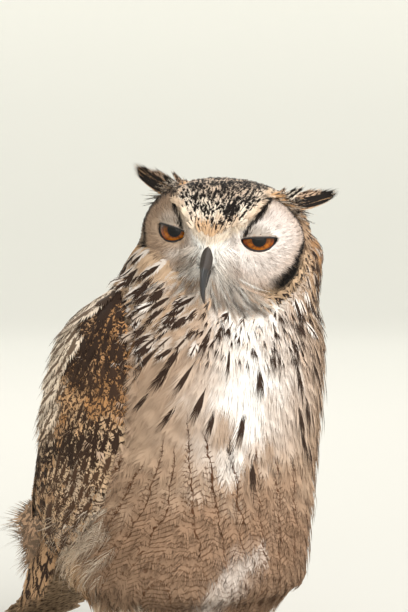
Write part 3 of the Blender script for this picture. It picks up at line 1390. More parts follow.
@dataclass(frozen=True)
class Tract:
    """One kind of feather: spacing, length, half width, height of its tips over the skin, build and seed.

    light, turn and spread are how far brightness, direction and marks vary, and flecks is the share of darkened
    feathers. On the trunk the tips' height is a share of the coat's depth.
    """

    spacing: float
    length: float
    half_width: float
    rise: float
    vane: Vane
    seed: int
    light: float = 0.05
    turn: float = 0.08
    flecks: float = 0.0
    spread: float = 0.18


class Coat:
    """The feathers, tract by tract.

    LIMIT is the most triangles a piece should have, HANG the height below which the hem's feathers hang free,
    HEAD_RADIUS the head's mean radius, and STREAKS the heights and turns of the breast's bold streaks.
    """

    LIMIT = 190_000
    HANG = 0.056
    HEAD_RADIUS = 0.052
    STREAKS = ((0.290, (-80, -69, -58, 26, 40, 56)), (0.276, (-66, -54, -42, 31, 46, 62)),
               (0.263, (-60, -48, -30, 14, 22, 36, 54)), (0.250, (-66, -52, -41, -20, 8, 18, 27, 44)),
               (0.238, (-57, -45, -34, -3, 24, 36, 52)), (0.224, (-50, -29, 29, 42, 60)),
               (0.210, (-40, -22, -9, 22, 34, 50)), (0.194, (-16, 25, 41)), (0.176, (-8, 30)))

    def __init__(self, shape: SkinField, lids: Sequence[Eyelids], markings: Markings) -> None:
        """Keeps the skin, the lids and the markings, and makes the shared finish."""
        self.shape, self.lids, self.markings = shape, lids, markings
        self.finishes = {pattern: PlumageFinish(pattern).material() for pattern in Pattern}

    def grown_from(self, region: Region, points: Array, slack: float = 0.0022) -> Array:
        """Whether each place on this region's own shape is also on the whole skin's surface."""
        away = self.shape.parts(points)
        others = np.min(np.stack([away[other] for other in Region if other is not region]), axis=0)
        return others > -slack

    def clear_of_eyes(self, points: Array, margin: float) -> Array:
        """Whether each place is outside both eyes' openings by a margin."""
        return np.min(np.stack([lid.outside(points) for lid in self.lids]), axis=0) > margin

    def piece(self, name: str, parts: Sequence[Growth], slot_name: str, nodes: Sequence[str] = (),
              pattern: Pattern = Pattern.VANE) -> None:
        """Makes the growths one object, with both its maps and its marks."""
        grown = Growth.joined(parts)
        made = make_object(name, grown.vertices, grown.faces, grown.marks.attributes(),
                           {"OFBake": grown.patch_uv, "Vane": grown.vane_uv})
        if len(grown.faces) > self.LIMIT:
            LOG.warning("%s has %d triangles, over the limit", name, len(grown.faces))
        install(made, self.finishes[pattern], nodes)

    def sow(self, tract: Tract, root: Array, lie: Array, place: Array, marks: Marks,
            scale: Array | float = 1.0, depth: Array | float = 1.0, only: Sequence[Region] = ALL) -> Growth:
        """Feathers of one kind, whose shafts are walked over the skin in equal steps.

        At share s a shaft stands above the skin by rise (1 - (1 - s) to the power 1.6) and curl s cubed lengths.
        At the hem, a feather that comes below HANG leaves the skin and hangs free.

        Args:
            tract: the kind.
            root: places on the skin.
            lie: the directions in which they lie.
            place: their places on the coat's map.
            marks: their marks.
            scale: their sizes.
            depth: what the tips' height is multiplied by.
            only: the regions whose skin they follow.

        Returns:
            The mesh.
        """
        rng = seeded(tract.seed + 1000)
        count, vane = len(root), tract.vane
        size = scale * (1 + rng.normal(0, 0.09, count))
        lie = unit(lie + rng.normal(0, tract.turn, lie.shape))
        marks = varied(marks, rng, tract.light, tract.spread)
        dark = (rng.uniform(0, 1, count) < tract.flecks) * rng.uniform(0.3, 0.9, count)
        marks.ground = blend(dark, marks.ground, Tint.SMOKE)
        rise = tract.rise * depth * scale * (1 + rng.normal(0, 0.12, count))
        length = tract.length * size
        points, normal = self.shape.settle(root, ROOTED, only)
        hangs = (root[:, 2] > 0.030) & (np.max(np.abs(root[:, :2]), axis=1) > 0.045)
        path, up = [points], [normal]
        for step in range(1, vane.steps + 1):
            share = step / vane.steps
            lie = unit(lie - np.sum(lie * normal, axis=1, keepdims=True) * normal)
            height = ROOTED + rise * (1 - (1 - share) ** 1.6) + vane.curl * length * share**3
            free = (hangs & (points[:, 2] < self.HANG))[:, None]
            lie = np.where(free, unit(lie * [0.7, 0.7, 1.0] - 0.8 * UP), lie)
            moved = points + lie * (length / vane.steps)[:, None]
            points, turned = self.shape.settle(moved, height, only, 1)
            points, normal = np.where(free, moved, points), np.where(free, normal, turned)
            points[:, 2] = np.maximum(points[:, 2], CLEAR)
            path.append(points)
            up.append(normal)
        return combed(np.stack(path, axis=1), np.stack(up, axis=1), place, tract.half_width * size, marks, vane,
                      tract.seed)

    # Trunk

    def trunk_flow(self, turn: Array, height: Array) -> Array:
        """The lie's share sideways: swept back on the right flank, a little outward on the left."""
        degrees = np.degrees(turn)
        hem = 0.80 * ease(0.125, 0.090, height) * ease(-78, -52, degrees)
        right = -0.66 * ease(-10, -54, degrees) * ease(-150, -100, degrees) * (1 - hem)
        left = 0.20 * ease(0, 25, degrees) * ease(150, 100, degrees)
        return right + left

    def from_trunk(self, tract: Tract, turn: Array, height: Array, retouch: Retouch = unchanged,
                   sweep: float = 0.0) -> Growth:
        """Feathers at turns and heights of the trunk.

        Args:
            tract: their kind.
            turn: turns from straight ahead.
            height: heights above the floor.
            retouch: what changes their marks, if anything.
            sweep: a share sideways, on top of the flow.

        Returns:
            The mesh.
        """
        spot = self.shape.trunk.spot
        root = spot(turn, height)
        keep = self.grown_from(Region.TRUNK, root, 0.004)
        turn, height, root = turn[keep], height[keep], root[keep]
        lie = downward(spot, turn, height, self.trunk_flow(turn, height) + sweep)
        place = np.stack([turn * 0.095, height], axis=1) + Patch.TRUNK.value
        scale = (1 - 0.30 * ease(0.30, 0.335, height)) * np.clip((height - 0.014) / tract.length, 0.35, 1)
        marks = self.markings.at(root + lie * (tract.length * MARKED_AT * scale)[:, None])
        under_wing = 0.45 < float(np.mean(turn)) < 1.6
        only = (Region.TRUNK, Region.HEAD, Region.LEG) if under_wing else ALL
        return self.sow(tract, root, lie, place, retouch(marks), scale, self.shape.trunk.coat(height), only)

    def over_trunk(self, tract: Tract, heights: Pair, turns: Pair,
                   retouch: Retouch = unchanged, sweep: float = 0.0) -> Growth:
        """Feathers all over the trunk between two heights and two turns in degrees."""
        rng = seeded(tract.seed)
        rows = np.arange(heights[1], heights[0], -tract.spacing)
        turn, height = rows_on(self.shape.trunk.spot, *np.radians(turns), rows, tract.spacing, rng)
        return self.from_trunk(tract, turn, height, retouch, sweep)

    def bold_streaks(self, seed: int) -> Growth:
        """Breast feathers with bold dark shafts, row by row."""
        rng = seeded(seed)
        height = np.concatenate([np.full(len(turns), row) for row, turns in self.STREAKS])
        turn = np.radians(np.concatenate([turns for _, turns in self.STREAKS]) + rng.normal(0, 1.5, len(height)))
        height = height + rng.normal(0, 0.0020, len(height))

        def streaked(marks: Marks) -> Marks:
            """With a streak whose width varies."""
            marks = marks.paint(1.0, None, Tint.DARK, (0.38, 0.0, 0.0), (5, 0.5, 0.3))
            marks.pattern[:, 0] *= rng.uniform(0.55, 1.25, len(marks))
            return marks

        tract = Tract(0.0, 0.054, 0.0058, 1.15, SOFT, seed, 0.02, 0.06)
        return self.from_trunk(tract, turn, height + 0.012, streaked)

    def dress_trunk(self) -> None:
        """Silky under-layer, barred belly, streaked breast and collar, plumes of the flanks, and back."""
        def layers(*rows: tuple) -> list[Growth]:
            """A layer of feathers over the trunk from each row of arguments."""
            return [self.over_trunk(*row) for row in rows]

        def plain(marks: Marks) -> Marks:
            """Without streaks and bars."""
            return marks.paint(1.0, None, None, (0.0, 0.0, 0.0))

        def pale(marks: Marks) -> Marks:
            """Plain, and nearly cream."""
            return plain(marks).paint(0.7, Tint.CREAM)

        def collar(marks: Marks) -> Marks:
            """With dark middles of many widths."""
            rng = seeded(len(marks))
            marks = marks.paint(1.0, None, Tint.DARK, (0.60, 0.0, 0.30), (4, 0.5, 0.3))
            marks.pattern[:, 0] *= rng.uniform(0.2, 1.25, len(marks))
            return marks.painted((0.6, Tint.GREY), (rng.uniform(0, 1, len(marks)) ** 1.5, Tint.MILK))

        def ruff(marks: Marks) -> Marks:
            """With slight dark middles and orange tips."""
            rng = seeded(len(marks))
            marks = marks.painted((rng.uniform(0, 0.6, len(marks)) ** 2, Tint.ORANGE, Tint.DARK),
                                  (1.0, None, Tint.DARK, (0.55, 0.0, 0.20), (4, 0.5, 0.3)))
            marks.pattern[:, 0] *= rng.uniform(0, 1.2, len(marks)) ** 1.4
            return marks

        parts = (("right", (-104, -34)), ("middle", (-34, 26)), ("left", (26, 104)))
        for number, (name, turns) in enumerate(parts):
            self.piece(f"belly_down_{name}", layers(
                (Tract(0.0052, 0.026, 0.0048, 0.55, SILK, 20 + number, 0.02, 0.05), (0.030, 0.176), turns),
                (Tract(0.0070, 0.034, 0.0075, 0.92, SOFT, 25 + number, 0.02, 0.05), (0.032, 0.190), turns)),
                "buff_feather", pattern=Pattern.BELLY)
            self.piece(f"breast_down_{name}", layers(
                (Tract(0.0042, 0.028, 0.0046, 0.80, SILK, 30 + number, 0.015, 0.04), (0.176, 0.332), turns)),
                "pale_feather", pattern=Pattern.BELLY)
        long_plume = Tract(0.0064, 0.072, 0.0062, 1.30, PLUME, 46, 0.05, 0.10)
        self.piece("flank_plumes", layers(
            (Tract(0.0090, 0.034, 0.0060, 1.10, PLUME, 44, 0.05, 0.14), (0.046, 0.074), (-100, 104), plain),
            (Tract(0.0075, 0.052, 0.0080, 1.15, SOFT, 43, 0.05, 0.10), (0.058, 0.100), (-112, -56), plain, 0.10),
            (long_plume, (0.100, 0.176), (-90, -58), pale, -0.55),
            (long_plume, (0.096, 0.170), (70, 96), plain, 0.25)), "pale_feather")
        narrow = Tract(0.0085, 0.024, 0.0044, 1.10, FIRM, 48, 0.05, 0.10)
        self.piece("breast_streaks", [self.bold_streaks(45), *layers(
            (Tract(0.0070, 0.029, 0.0044, 1.15, FIRM, 47, 0.06, 0.12), (0.252, 0.318), (-100, -38), collar),
            (narrow, (0.262, 0.337), (30, 104), collar),
            (Tract(0.0058, 0.024, 0.0034, 1.05, DOWNY, 49, 0.05, 0.14), (0.246, 0.300), (-38, 32), ruff))],
                   "dark_feather")
        back = Tract(0.0085, 0.034, 0.0100, 0.95, FIRM, 50, 0.08)
        self.piece("back_feathers", layers(
            (back, (0.036, 0.335), (100, 180)), (back, (0.036, 0.335), (-180, -100)),
            (replace(narrow, spacing=0.0060, seed=51), (0.235, 0.322), (64, 102))), "dark_feather")

    # Head

    def over_head(self, tract: Tract, chosen: Change, lie_of: Change,
                  sink: float = 0.0, retouch: Retouch = unchanged) -> Growth:
        """Feathers on a part of the head, evenly spread along a spiral over all directions.

        Args:
            tract: their kind.
            chosen: which directions are in the part, told with their x made positive.
            lie_of: the lie at each direction, in the head's axes.
            sink: how near an eye's opening they may start.
            retouch: what changes their marks.

        Returns:
            The mesh.
        """
        rng = seeded(tract.seed)
        head = self.shape.head
        count = int(4 * pi * self.HEAD_RADIUS**2 / tract.spacing**2)
        number = np.arange(count) + 0.5
        high = 1 - 2 * number / count
        around = number * pi * (3 - math.sqrt(5))
        level = np.sqrt(1 - high**2)
        toward = np.stack([level * np.cos(around), level * np.sin(around), high], 1)
        toward = unit(toward + rng.normal(0, 0.16 * tract.spacing / self.HEAD_RADIUS, toward.shape))
        toward = toward[chosen(np.concatenate([np.abs(toward[:, :1]), toward[:, 1:]], axis=1))]
        root = head.spot(toward)
        keep = self.grown_from(Region.HEAD, root, 0.004) & self.clear_of_eyes(root, sink)
        toward, root = toward[keep], root[keep]
        longitude, latitude = np.arctan2(toward[:, 0], -toward[:, 1]), np.arcsin(np.clip(toward[:, 2], -1, 1))
        place = np.stack([longitude * np.cos(latitude), latitude], axis=1) * self.HEAD_RADIUS + Patch.HEAD.value
        lie = head.turned(lie_of(toward))
        marks = self.markings.at(root + lie * tract.length * MARKED_AT)
        return self.sow(tract, root, lie, place, retouch(marks))

    def dress_head(self) -> None:
        """Hair-like feathers on the face, bristles at the bill, short ones on the crown, long ones behind."""
        eye, bill, tuft = HeadAxes.EYE, HeadAxes.BILL, unit(self.EAR_ROOT)

        def within(low: Numbers, high: Numbers) -> Change:
            """A test for directions between two corners."""
            return lambda at: np.all((at > low) & (at < high), axis=1)

        def face(at: Array) -> Array:
            """In front of the rims and below the brows, and clear of the bill."""
            x, y, z = at.T
            disc = (at @ eye > cos(radians(44))) & (y < 0.10)
            cere = (x < 0.085) & (np.abs(z + 0.08) < 0.22) & (y < 0)
            return (disc | ((x < 0.58) & (y < -0.40))) & (HeadAxes.above(at) < 0.05) & ~cere

        def crown(at: Array) -> Array:
            """Above the brows."""
            return (HeadAxes.above(at) > 0.0) & (at[:, 1] < 0.45)

        def others(at: Array) -> Array:
            """Everything else."""
            return ~face(at) & ~crown(at) & ~((at[:, 0] < 0.09) & (at[:, 1] < -0.5))

        def tufted(at: Array) -> Array:
            """Round the ear tufts' roots."""
            return at @ tuft > cos(radians(13))

        def mirrored(toward: Array, vector: Numbers) -> Array:
            """A vector of the left side, for each direction's own side."""
            sign = np.where(toward[:, :1] >= 0, 1, -1)
            return vector * np.concatenate([sign, np.ones((len(toward), 2))], axis=1)

        def drawn(share: float, *vector: float) -> Change:
            """A lie away from the bill by a share, drawn along a vector of the left side."""
            return lambda toward: unit(share * unit(toward - bill) + mirrored(toward, vector))

        def rays(toward: Array) -> Array:
            """Away from the bill, away from the eye on the discs, and down on the chin."""
            share = ease(0.12, 0.5, np.abs(toward[:, 0]))[:, None]
            down = np.array([0.0, 0.15, -0.75]) * ease(-0.05, -0.45, toward[:, 2])[:, None]
            away = unit(toward - mirrored(toward, eye))
            return unit(unit(toward - bill) * (1 - 0.45 * share) + 0.75 * away * share + down)

        def stained(marks: Marks) -> Marks:
            """White, with rusty or dark ends here and there."""
            rng = seeded(len(marks))
            return marks.painted((1.0, Tint.WHITE, Tint.DARK, (0.0, 0.0, 0.35)),
                                 (rng.uniform(0, 0.9, len(marks)) ** 2.5, Tint.ORANGE),
                                 (0.8 * (rng.uniform(0, 1, len(marks)) < 0.12), Tint.UMBER))

        def edged(marks: Marks) -> Marks:
            """Cream, with black bars and middles."""
            return marks.paint(0.75, Tint.CREAM, Tint.BLACK, (0.40, 0.9, 0.6), (3, 0.5, 0.42))

        wisp = Vane(barbs=8, steps=4, forward=0.35, ragged=0.08, curl=0.40)
        for name, slot_name, sizes, *how in (
                ("face_feathers", "pale_feather", (0.00119, 0.0090, 0.00078, 0.0011, HAIR, 60, 0.09, 0.10, 0.06),
                 face, rays, 0.0007),
                ("bill_bristles", "pale_feather", (0.0019, 0.0200, 0.0009, 0.0036, HAIR, 61, 0.03, 0.16, 0.10),
                 within((0.07, -2, -0.34), (0.30, -0.7, 0.26)), drawn(0.3, 0.50, 0.10, -0.95), 0.003),
                ("chin_plumes", "pale_feather", (0.0027, 0.0250, 0.0019, 0.0052, PLUME, 65, 0.07, 0.18),
                 within((-1, -2, -0.66), (0.62, -0.30, -0.24)), drawn(1.1, 0, 0, -0.75), 0.003, stained),
                ("crown_feathers", "dark_feather", (0.0029, 0.0094, 0.0026, 0.0032, SHORT, 62, 0.10, 0.20, 0, 0.5),
                 crown, lambda toward: unit(toward - bill)),
                ("nape_feathers", "buff_feather", (0.0040, 0.0180, 0.0034, 0.0050, DOWNY, 63, 0.08, 0.10),
                 others, drawn(1, 0, 0.25, -0.95)),
                ("tuft_base_feathers", "buff_feather", (0.0030, 0.0125, 0.0024, 0.0045, wisp, 64, 0.12, 0.22, 0.25),
                 tufted, lambda toward: unit(mirrored(toward, unit([0.60, 0.42, 0.40])) + 0.5 * toward),
                 0, edged)):
            self.piece(name, [self.over_head(Tract(*sizes), *how)], slot_name)

    # Wings

    def over_wing(self, tract: Tract, side: int, heights: Pair, shares: Pair = (-0.97, 0.97), lean: float = 0.16,
                  retouch: Retouch = unchanged) -> Growth:
        """A wing's covert feathers.

        Args:
            tract: their kind.
            side: 1 for the left wing, -1 for the right.
            heights: lowest and highest.
            shares: first and last share across the wing, -1 at its front and 1 at its back.
            lean: the lie's share backward.
            retouch: what changes their marks.

        Returns:
            The mesh.
        """
        rng = seeded(tract.seed)
        wing = self.shape.wings[side]
        rows = np.arange(heights[1], heights[0], -tract.spacing * 0.9)
        across, height = rows_on(wing.spot, *shares, rows, tract.spacing, rng)
        root = wing.spot(across, height)
        keep = self.grown_from(Region.WING, root, 0.004) & (across > (-0.62 if side > 0 else -1))
        across, height, root = across[keep], height[keep], root[keep]
        step = 0.002
        down = unit(wing.spot(across, height - step) - wing.spot(across, height + step))
        backward = unit(wing.spot(np.minimum(across + 0.02, 1), height) - wing.spot(across - 0.02, height))
        lie = unit(down + backward * (lean + 0.10 * across)[:, None])
        place = np.stack([across * 0.075, height], axis=1) + Patch.of("WING", side)
        marks = self.markings.at(root + lie * tract.length * MARKED_AT)
        return self.sow(tract, root, lie, place, retouch(marks))

    def flight(self, side: int, count: int, ends: Pair, span: Pair, half_width: float, rise: float,
               seed: int) -> Growth:
        """Long vanes side by side along the folded wing, each lying a little over the next.

        A shaft keeps its share across the wing all the way down, and hangs free below the wrist's level.

        Args:
            side: 1 for the left wing, -1 for the right.
            count: how many.
            ends: the heights of the roots and the tips.
            span: the first and last share across.
            half_width: of a vane.
            rise: height over the skin.
            seed: for their variation.

        Returns:
            The mesh.
        """
        rng = seeded(seed)
        wing = self.shape.wings[side]
        steps = FLIGHT.steps
        share = np.linspace(0, 1, steps + 1)
        across = np.linspace(*span, count)[:, None] + 0.06 * share
        tips = ends[1] + 0.020 * np.abs(np.linspace(-0.4, 1, count)) + rng.uniform(-0.003, 0.003, count)
        height = ends[0] + (tips[:, None] - ends[0]) * share
        held = np.maximum(height, 0.088)
        flat = wing.spot(np.clip(across, -0.96, 0.96).ravel(), held.ravel())
        level = rise * (0.3 + 0.7 * share) + 0.0006 * np.arange(count)[:, None]
        path, up = self.shape.settle(flat, level.ravel(), (Region.WING,), 2)
        path, up = path.reshape(count, -1, 3), up.reshape(count, -1, 3)
        path += (height - held)[..., None] * np.array([-0.10 * side, -0.38, 1.0])
        place = np.stack([across[:, steps // 2] * 0.075, height[:, steps // 2]], axis=1) + Patch.of("WING", side)
        marks = varied(Marks.plain(count, Tint.TAN, Tint.DARK, (0.08, 1.0, 0.45), (8, 0.5, 0.44)), rng, 0.10)
        return combed(path, up, place, half_width, marks, FLIGHT, seed)

    def dress_wings(self) -> None:
        """Coverts and scapulars over secondaries and primaries, on both sides."""
        def ruffled(marks: Marks) -> Marks:
            """Grey-brown, with faint bars."""
            return marks.paint(0.9, Tint.FAWN, Tint.SMOKE, (0.0, 0.8, 0.4), (5, 0.5, 0.5))

        coverts = ((0, (0.0066, 0.024, 0.0062, 0.0040), (0.196, 0.292)),
                   (4, (0.0092, 0.034, 0.0092, 0.0046), (0.150, 0.198)),
                   (6, (0.0105, 0.042, 0.0100, 0.0050), (0.104, 0.152)))
        for side, name in SIDES:
            seed = 80 + side
            parts = [self.over_wing(Tract(*sizes, FIRM, seed + more, 0.10), side, heights)
                     for more, sizes, heights in coverts]
            self.piece(f"wing_coverts_{name}", parts, "dark_feather")
            curl = 0.30 if side < 0 else 0.05
            curled, ruffed = replace(CURLED, curl=curl / 3), replace(SOFT, ragged=0.02, curl=curl * 3)
            self.piece(f"scapulars_{name}", [
                self.over_wing(Tract(0.0105, 0.036, 0.0062, 0.0058, curled, seed + 8, 0.12, 0.14), side,
                               (0.196, 0.284), (-0.16, 0.60), 0.30),
                self.over_wing(Tract(0.0085, 0.030, 0.0092, 0.0085, ruffed, seed + 10, 0.16, 0.22), side,
                               (0.070, 0.122), (-0.20, 0.50), 0.70, ruffled)], "pale_feather")
            self.piece(f"flight_feathers_{name}", [
                self.flight(side, 9, (0.168, 0.070), (-0.85, 0.60), 0.0125, 0.0030, seed + 12),
                self.flight(side, 10, (0.150, 0.030), (-0.60, 0.80), 0.0100, 0.0016, seed + 16)], "dark_feather")

    # Tail, legs and ears

    def dress_tail(self) -> None:
        """Twelve long vanes, the middle ones on top."""
        tail = self.shape.tail
        along, over, length = tail.frame()
        over = over if over[2] > 0 else -over
        rng = seeded(90)
        count, steps = 12, FLIGHT.steps
        spread = np.linspace(-1, 1, count)
        spread = spread[np.argsort(-np.abs(spread), kind="stable")]
        share = np.linspace(0, 1, steps + 1)
        across = spread[:, None] * (0.0125 + 0.0155 * share)
        thickness = tail.half_depths[0] + share * (tail.half_depths[1] - tail.half_depths[0])
        level = thickness + 0.0004 * np.arange(count)[:, None] - 0.004 * spread[:, None] ** 2 * share
        run = (length + 0.002 - 0.010 * np.abs(spread[:, None])) * share
        path = tail.start + along * run[..., None] + over * level[..., None] + ACROSS * across[..., None]
        path[..., 2] = np.maximum(path[..., 2], 0.0042 + 0.0004 * np.arange(count)[:, None])
        up = unit(np.broadcast_to(over, path.shape) + 0.25 * ACROSS * spread[:, None, None])
        marks = varied(Marks.plain(count, Tint.SAND, Tint.DARK, (0.05, 1.0, 0.5), (9, 0.5, 0.45)), rng, 0.05)
        place = np.stack([spread * 0.034, np.full(count, 0.08)], axis=1) + Patch.TAIL.value
        self.piece("tail_feathers", [combed(path, up, place, 0.0115, marks, FLIGHT, 91)], "dark_feather")

    def over_limb(self, tract: Tract, limb: Limb, base: Array, lie: Array) -> Growth:
        """Small feathers all round a limb, which lie one way.

        Args:
            tract: their kind.
            limb: the cone.
            base: its corner on the coat's map.
            lie: the direction they point.

        Returns:
            The mesh.
        """
        rng = seeded(tract.seed)
        span = limb.end - limb.start
        axis = unit(span)
        side = unit(np.cross(axis, [0.31, 0.2, 0.93]))
        other = np.cross(axis, side)
        run = float(norm(span))

        def spot(turn: Array, share: Array) -> Array:
            """The cone's surface by turn and share along."""
            radius = limb.start_radius + share * (limb.end_radius - limb.start_radius)
            round_it = np.cos(turn)[:, None] * side + np.sin(turn)[:, None] * other
            return limb.start + share[:, None] * span + radius[:, None] * round_it

        rows = np.arange(0, 1 + tract.spacing / run, tract.spacing / run)
        turn, share = rows_on(spot, 0, 2 * pi, rows, tract.spacing, rng)
        root = spot(turn, share)
        keep = self.grown_from(Region.LEG, root, 0.0015) & (root[:, 2] > 0.0035)
        turn, share, root = turn[keep], share[keep], root[keep]
        place = np.stack([turn * 0.012, share * run], axis=1) + base
        lies = np.broadcast_to(lie, root.shape)
        return self.sow(tract, root, lies, place, self.markings.leg(root), only=(Region.LEG,))

    def dress_legs(self) -> None:
        """Thighs, shanks and toes, in ever smaller feathers."""
        small = Vane(barbs=5, steps=3, forward=0.35, ragged=0.06)
        for side, name in SIDES:
            thigh, shank, *toes = self.shape.legs[side].parts()
            base = Patch.of("LEG", side)
            parts = [self.over_limb(Tract(0.0050, 0.020, 0.0042, 0.0045, small, 100 + side), thigh, base, -UP),
                     self.over_limb(Tract(0.0034, 0.012, 0.0026, 0.0030, small, 104 + side), shank,
                                    base + [0, 0.06], -UP)]
            for number, (toe, (_, degrees, *_)) in enumerate(zip(toes, TOES)):
                tract = Tract(0.0024, 0.0065, 0.0016, 0.0014, small, 110 + 4 * number + side)
                parts.append(self.over_limb(tract, toe, base + [0.03 * (number - 1), 0.10],
                                            toe_direction(degrees, side)))
            self.piece(f"leg_feathers_{name}", parts, "pale_feather")

    EAR_ROOT = np.array([0.0440, 0.0080, 0.0350])
    EAR_TIPS = {1: np.array([0.0790, 0.0330, 0.0420]), -1: np.array([0.0840, 0.0330, 0.0450])}

    def dress_ears(self) -> None:
        """Long, dark vanes with buff edges behind them, which leave the brow in a flat fan."""
        head = self.shape.head
        for side, name in SIDES:
            rng = seeded(120 + side)
            flip = np.array([side, 1, 1])
            span = self.EAR_TIPS[side] - self.EAR_ROOT
            count, steps = 20, BLADE.steps
            share = np.linspace(0, 1, steps + 1)
            order = np.linspace(-1, 1, count)
            buff = (order > 0.45).astype(float)
            second = (np.arange(count) % 5 == 2).astype(float)
            rise = np.array([-0.0007, 0.0014, 0.0016])
            start = self.EAR_ROOT - span * 0.28 + order[:, None] * rise * 2.2
            size = 1 - 0.17 * np.abs(order + 0.25) ** 1.5 - 0.10 * buff + rng.uniform(-0.05, 0.02, count)
            size = size * (1 - 0.42 * second)
            end = start + span * 1.28 * size[:, None] + order[:, None] * rise * 0.3
            aside = np.array([-0.0075, 0.0, 0.0080]) + rng.normal(0, 0.0022, (count, 3))
            end = end + second[:, None] * aside
            start = start + second[:, None] * np.array([-0.0030, 0.0, 0.0])
            sag = np.array([0.0, 0.002, -0.0035]) + rng.normal(0, 0.0004, (count, 3))
            path = (start[:, None] + (end - start)[:, None] * share[:, None]
                    + sag[:, None] * (4 * share * (1 - share))[:, None])
            path = head.to_body(path * flip)
            up = np.broadcast_to(unit(head.turned(np.array([0.25 * side, -0.80, 0.55]))), path.shape)
            marks = Marks.plain(count, Tint.TAN, Tint.BLACK, (0.55, 0.5, 0.9), (9, 0.5, 0.45)).painted(
                (second, Tint.CREAM, Tint.BLACK, (0.3, 0.6, 0.8), (5, 0.5, 0.5)),
                (buff, Tint.BUFF, Tint.DARK, (0.10, 0.6, 0.6), (7, 0.5, 0.5)))
            place = np.stack([order * 0.01 + 0.05 * side, np.full(count, 0.02)], axis=1) + Patch.TUFTS.value
            growth = combed(path, up, place, 0.0026, varied(marks, rng, 0.10), BLADE, 122 + side)
            self.piece(f"ear_feathers_{name}", [growth], "dark_feather", [f"ear_tuft_{name}"])


# ---- Eyes, bill and claws


class EyeFinish:
    """A wet eye: black pupil, deep orange iris with fine rays, and a black rim."""

    def material(self) -> Material:
        """Colours by distance from the eye's axis, in millimetres, on the globe's own map."""
        nodes = Nodes("wet_eye", Roughness=0.25, Specular_IOR_Level=0.1, Coat_Weight=0.75, Coat_Roughness=0.02,
                      Coat_IOR=1.33)
        away, around = nodes.uv("Globe")
        ray = nodes.noise(nodes.vector(around * 26.0, away * 0.25, 0.0), 1.0, 3.0)
        ring = nodes.noise(nodes.vector(around * 3.0, away * 0.6, 4.0), 1.0, 2.0)
        deep, glow = tint(92, 46, 3), tint(172, 98, 7)
        iris = nodes.mix((ray * 0.6 + ring * 0.4).eased(0.32, 0.68), deep, glow)
        iris = nodes.mix(away.eased(6.5, 10.8) * 0.65, iris, tint(120, 42, 8))
        iris = nodes.mix(away.eased(6.4, 5.1) * 0.55, iris, tint(84, 30, 8))
        rimmed = nodes.mix((away + ring * 0.4).eased(10.9, 11.9), iris, (0.004, 0.003, 0.003))
        height = away * (around * 6.2832).sine()
        rimmed = nodes.mix(height.eased(-4.0, 2.5) * 0.85, rimmed, (0.010, 0.006, 0.004))
        colour = nodes.mix(away.eased(5.25, 4.85), rimmed, (0.002, 0.002, 0.002))
        nodes.feed("Base Color", colour)
        return nodes.material


class LidFinish:
    """An eyelid: bare and black at its edge, downy behind it."""

    def material(self) -> Material:
        """Black edge, then fine grey-buff down."""
        nodes = Nodes("eyelid", Roughness=0.6, Specular_IOR_Level=0.4)
        _, out = nodes.uv("Lid")
        grain_of = nodes.noise(nodes.place(), 1500.0, 2.0)
        down = nodes.mix(grain_of.eased(0.35, 0.7), Tint.BUFF * 0.9, Tint.DISC * 0.6)
        nodes.feed("Base Color", nodes.mix((out + grain_of * 0.04).eased(0.09, 0.19), (0.012, 0.010, 0.010), down))
        nodes.bump(grain_of, 0.0002, 0.6)
        return nodes.material


class HornFinish:
    """Bill and claw: blue-black horn, glossy, with fine streaks along it and a duller base."""

    def material(self) -> Material:
        """Dark horn whose roughness and colour vary along and across it."""
        nodes = Nodes("horn", Specular_IOR_Level=0.55, Coat_Roughness=0.18)
        around, along = nodes.uv("Horn")
        streak = nodes.noise(nodes.vector(around * 14.0, along * 1.5, 0.0), 1.0, 3.0)
        pits = nodes.noise(nodes.place(), 1400.0, 3.0)
        colour = nodes.mix(streak.eased(0.3, 0.75), tint(7, 8, 12), tint(22, 25, 36))
        cere = along.eased(0.42, 0.36)
        colour = nodes.mix(cere, colour, nodes.mix(pits, tint(24, 20, 18), tint(68, 57, 50)))
        nodes.feed("Base Color", colour)
        nodes.feed("Roughness", 0.22 + streak * 0.14 + cere * 0.35)
        nodes.feed("Coat Weight", 0.7 - cere * 0.65)
        nodes.bump(pits * cere * 2.0 + streak * 0.25, 0.0003, 0.5)
        return nodes.material


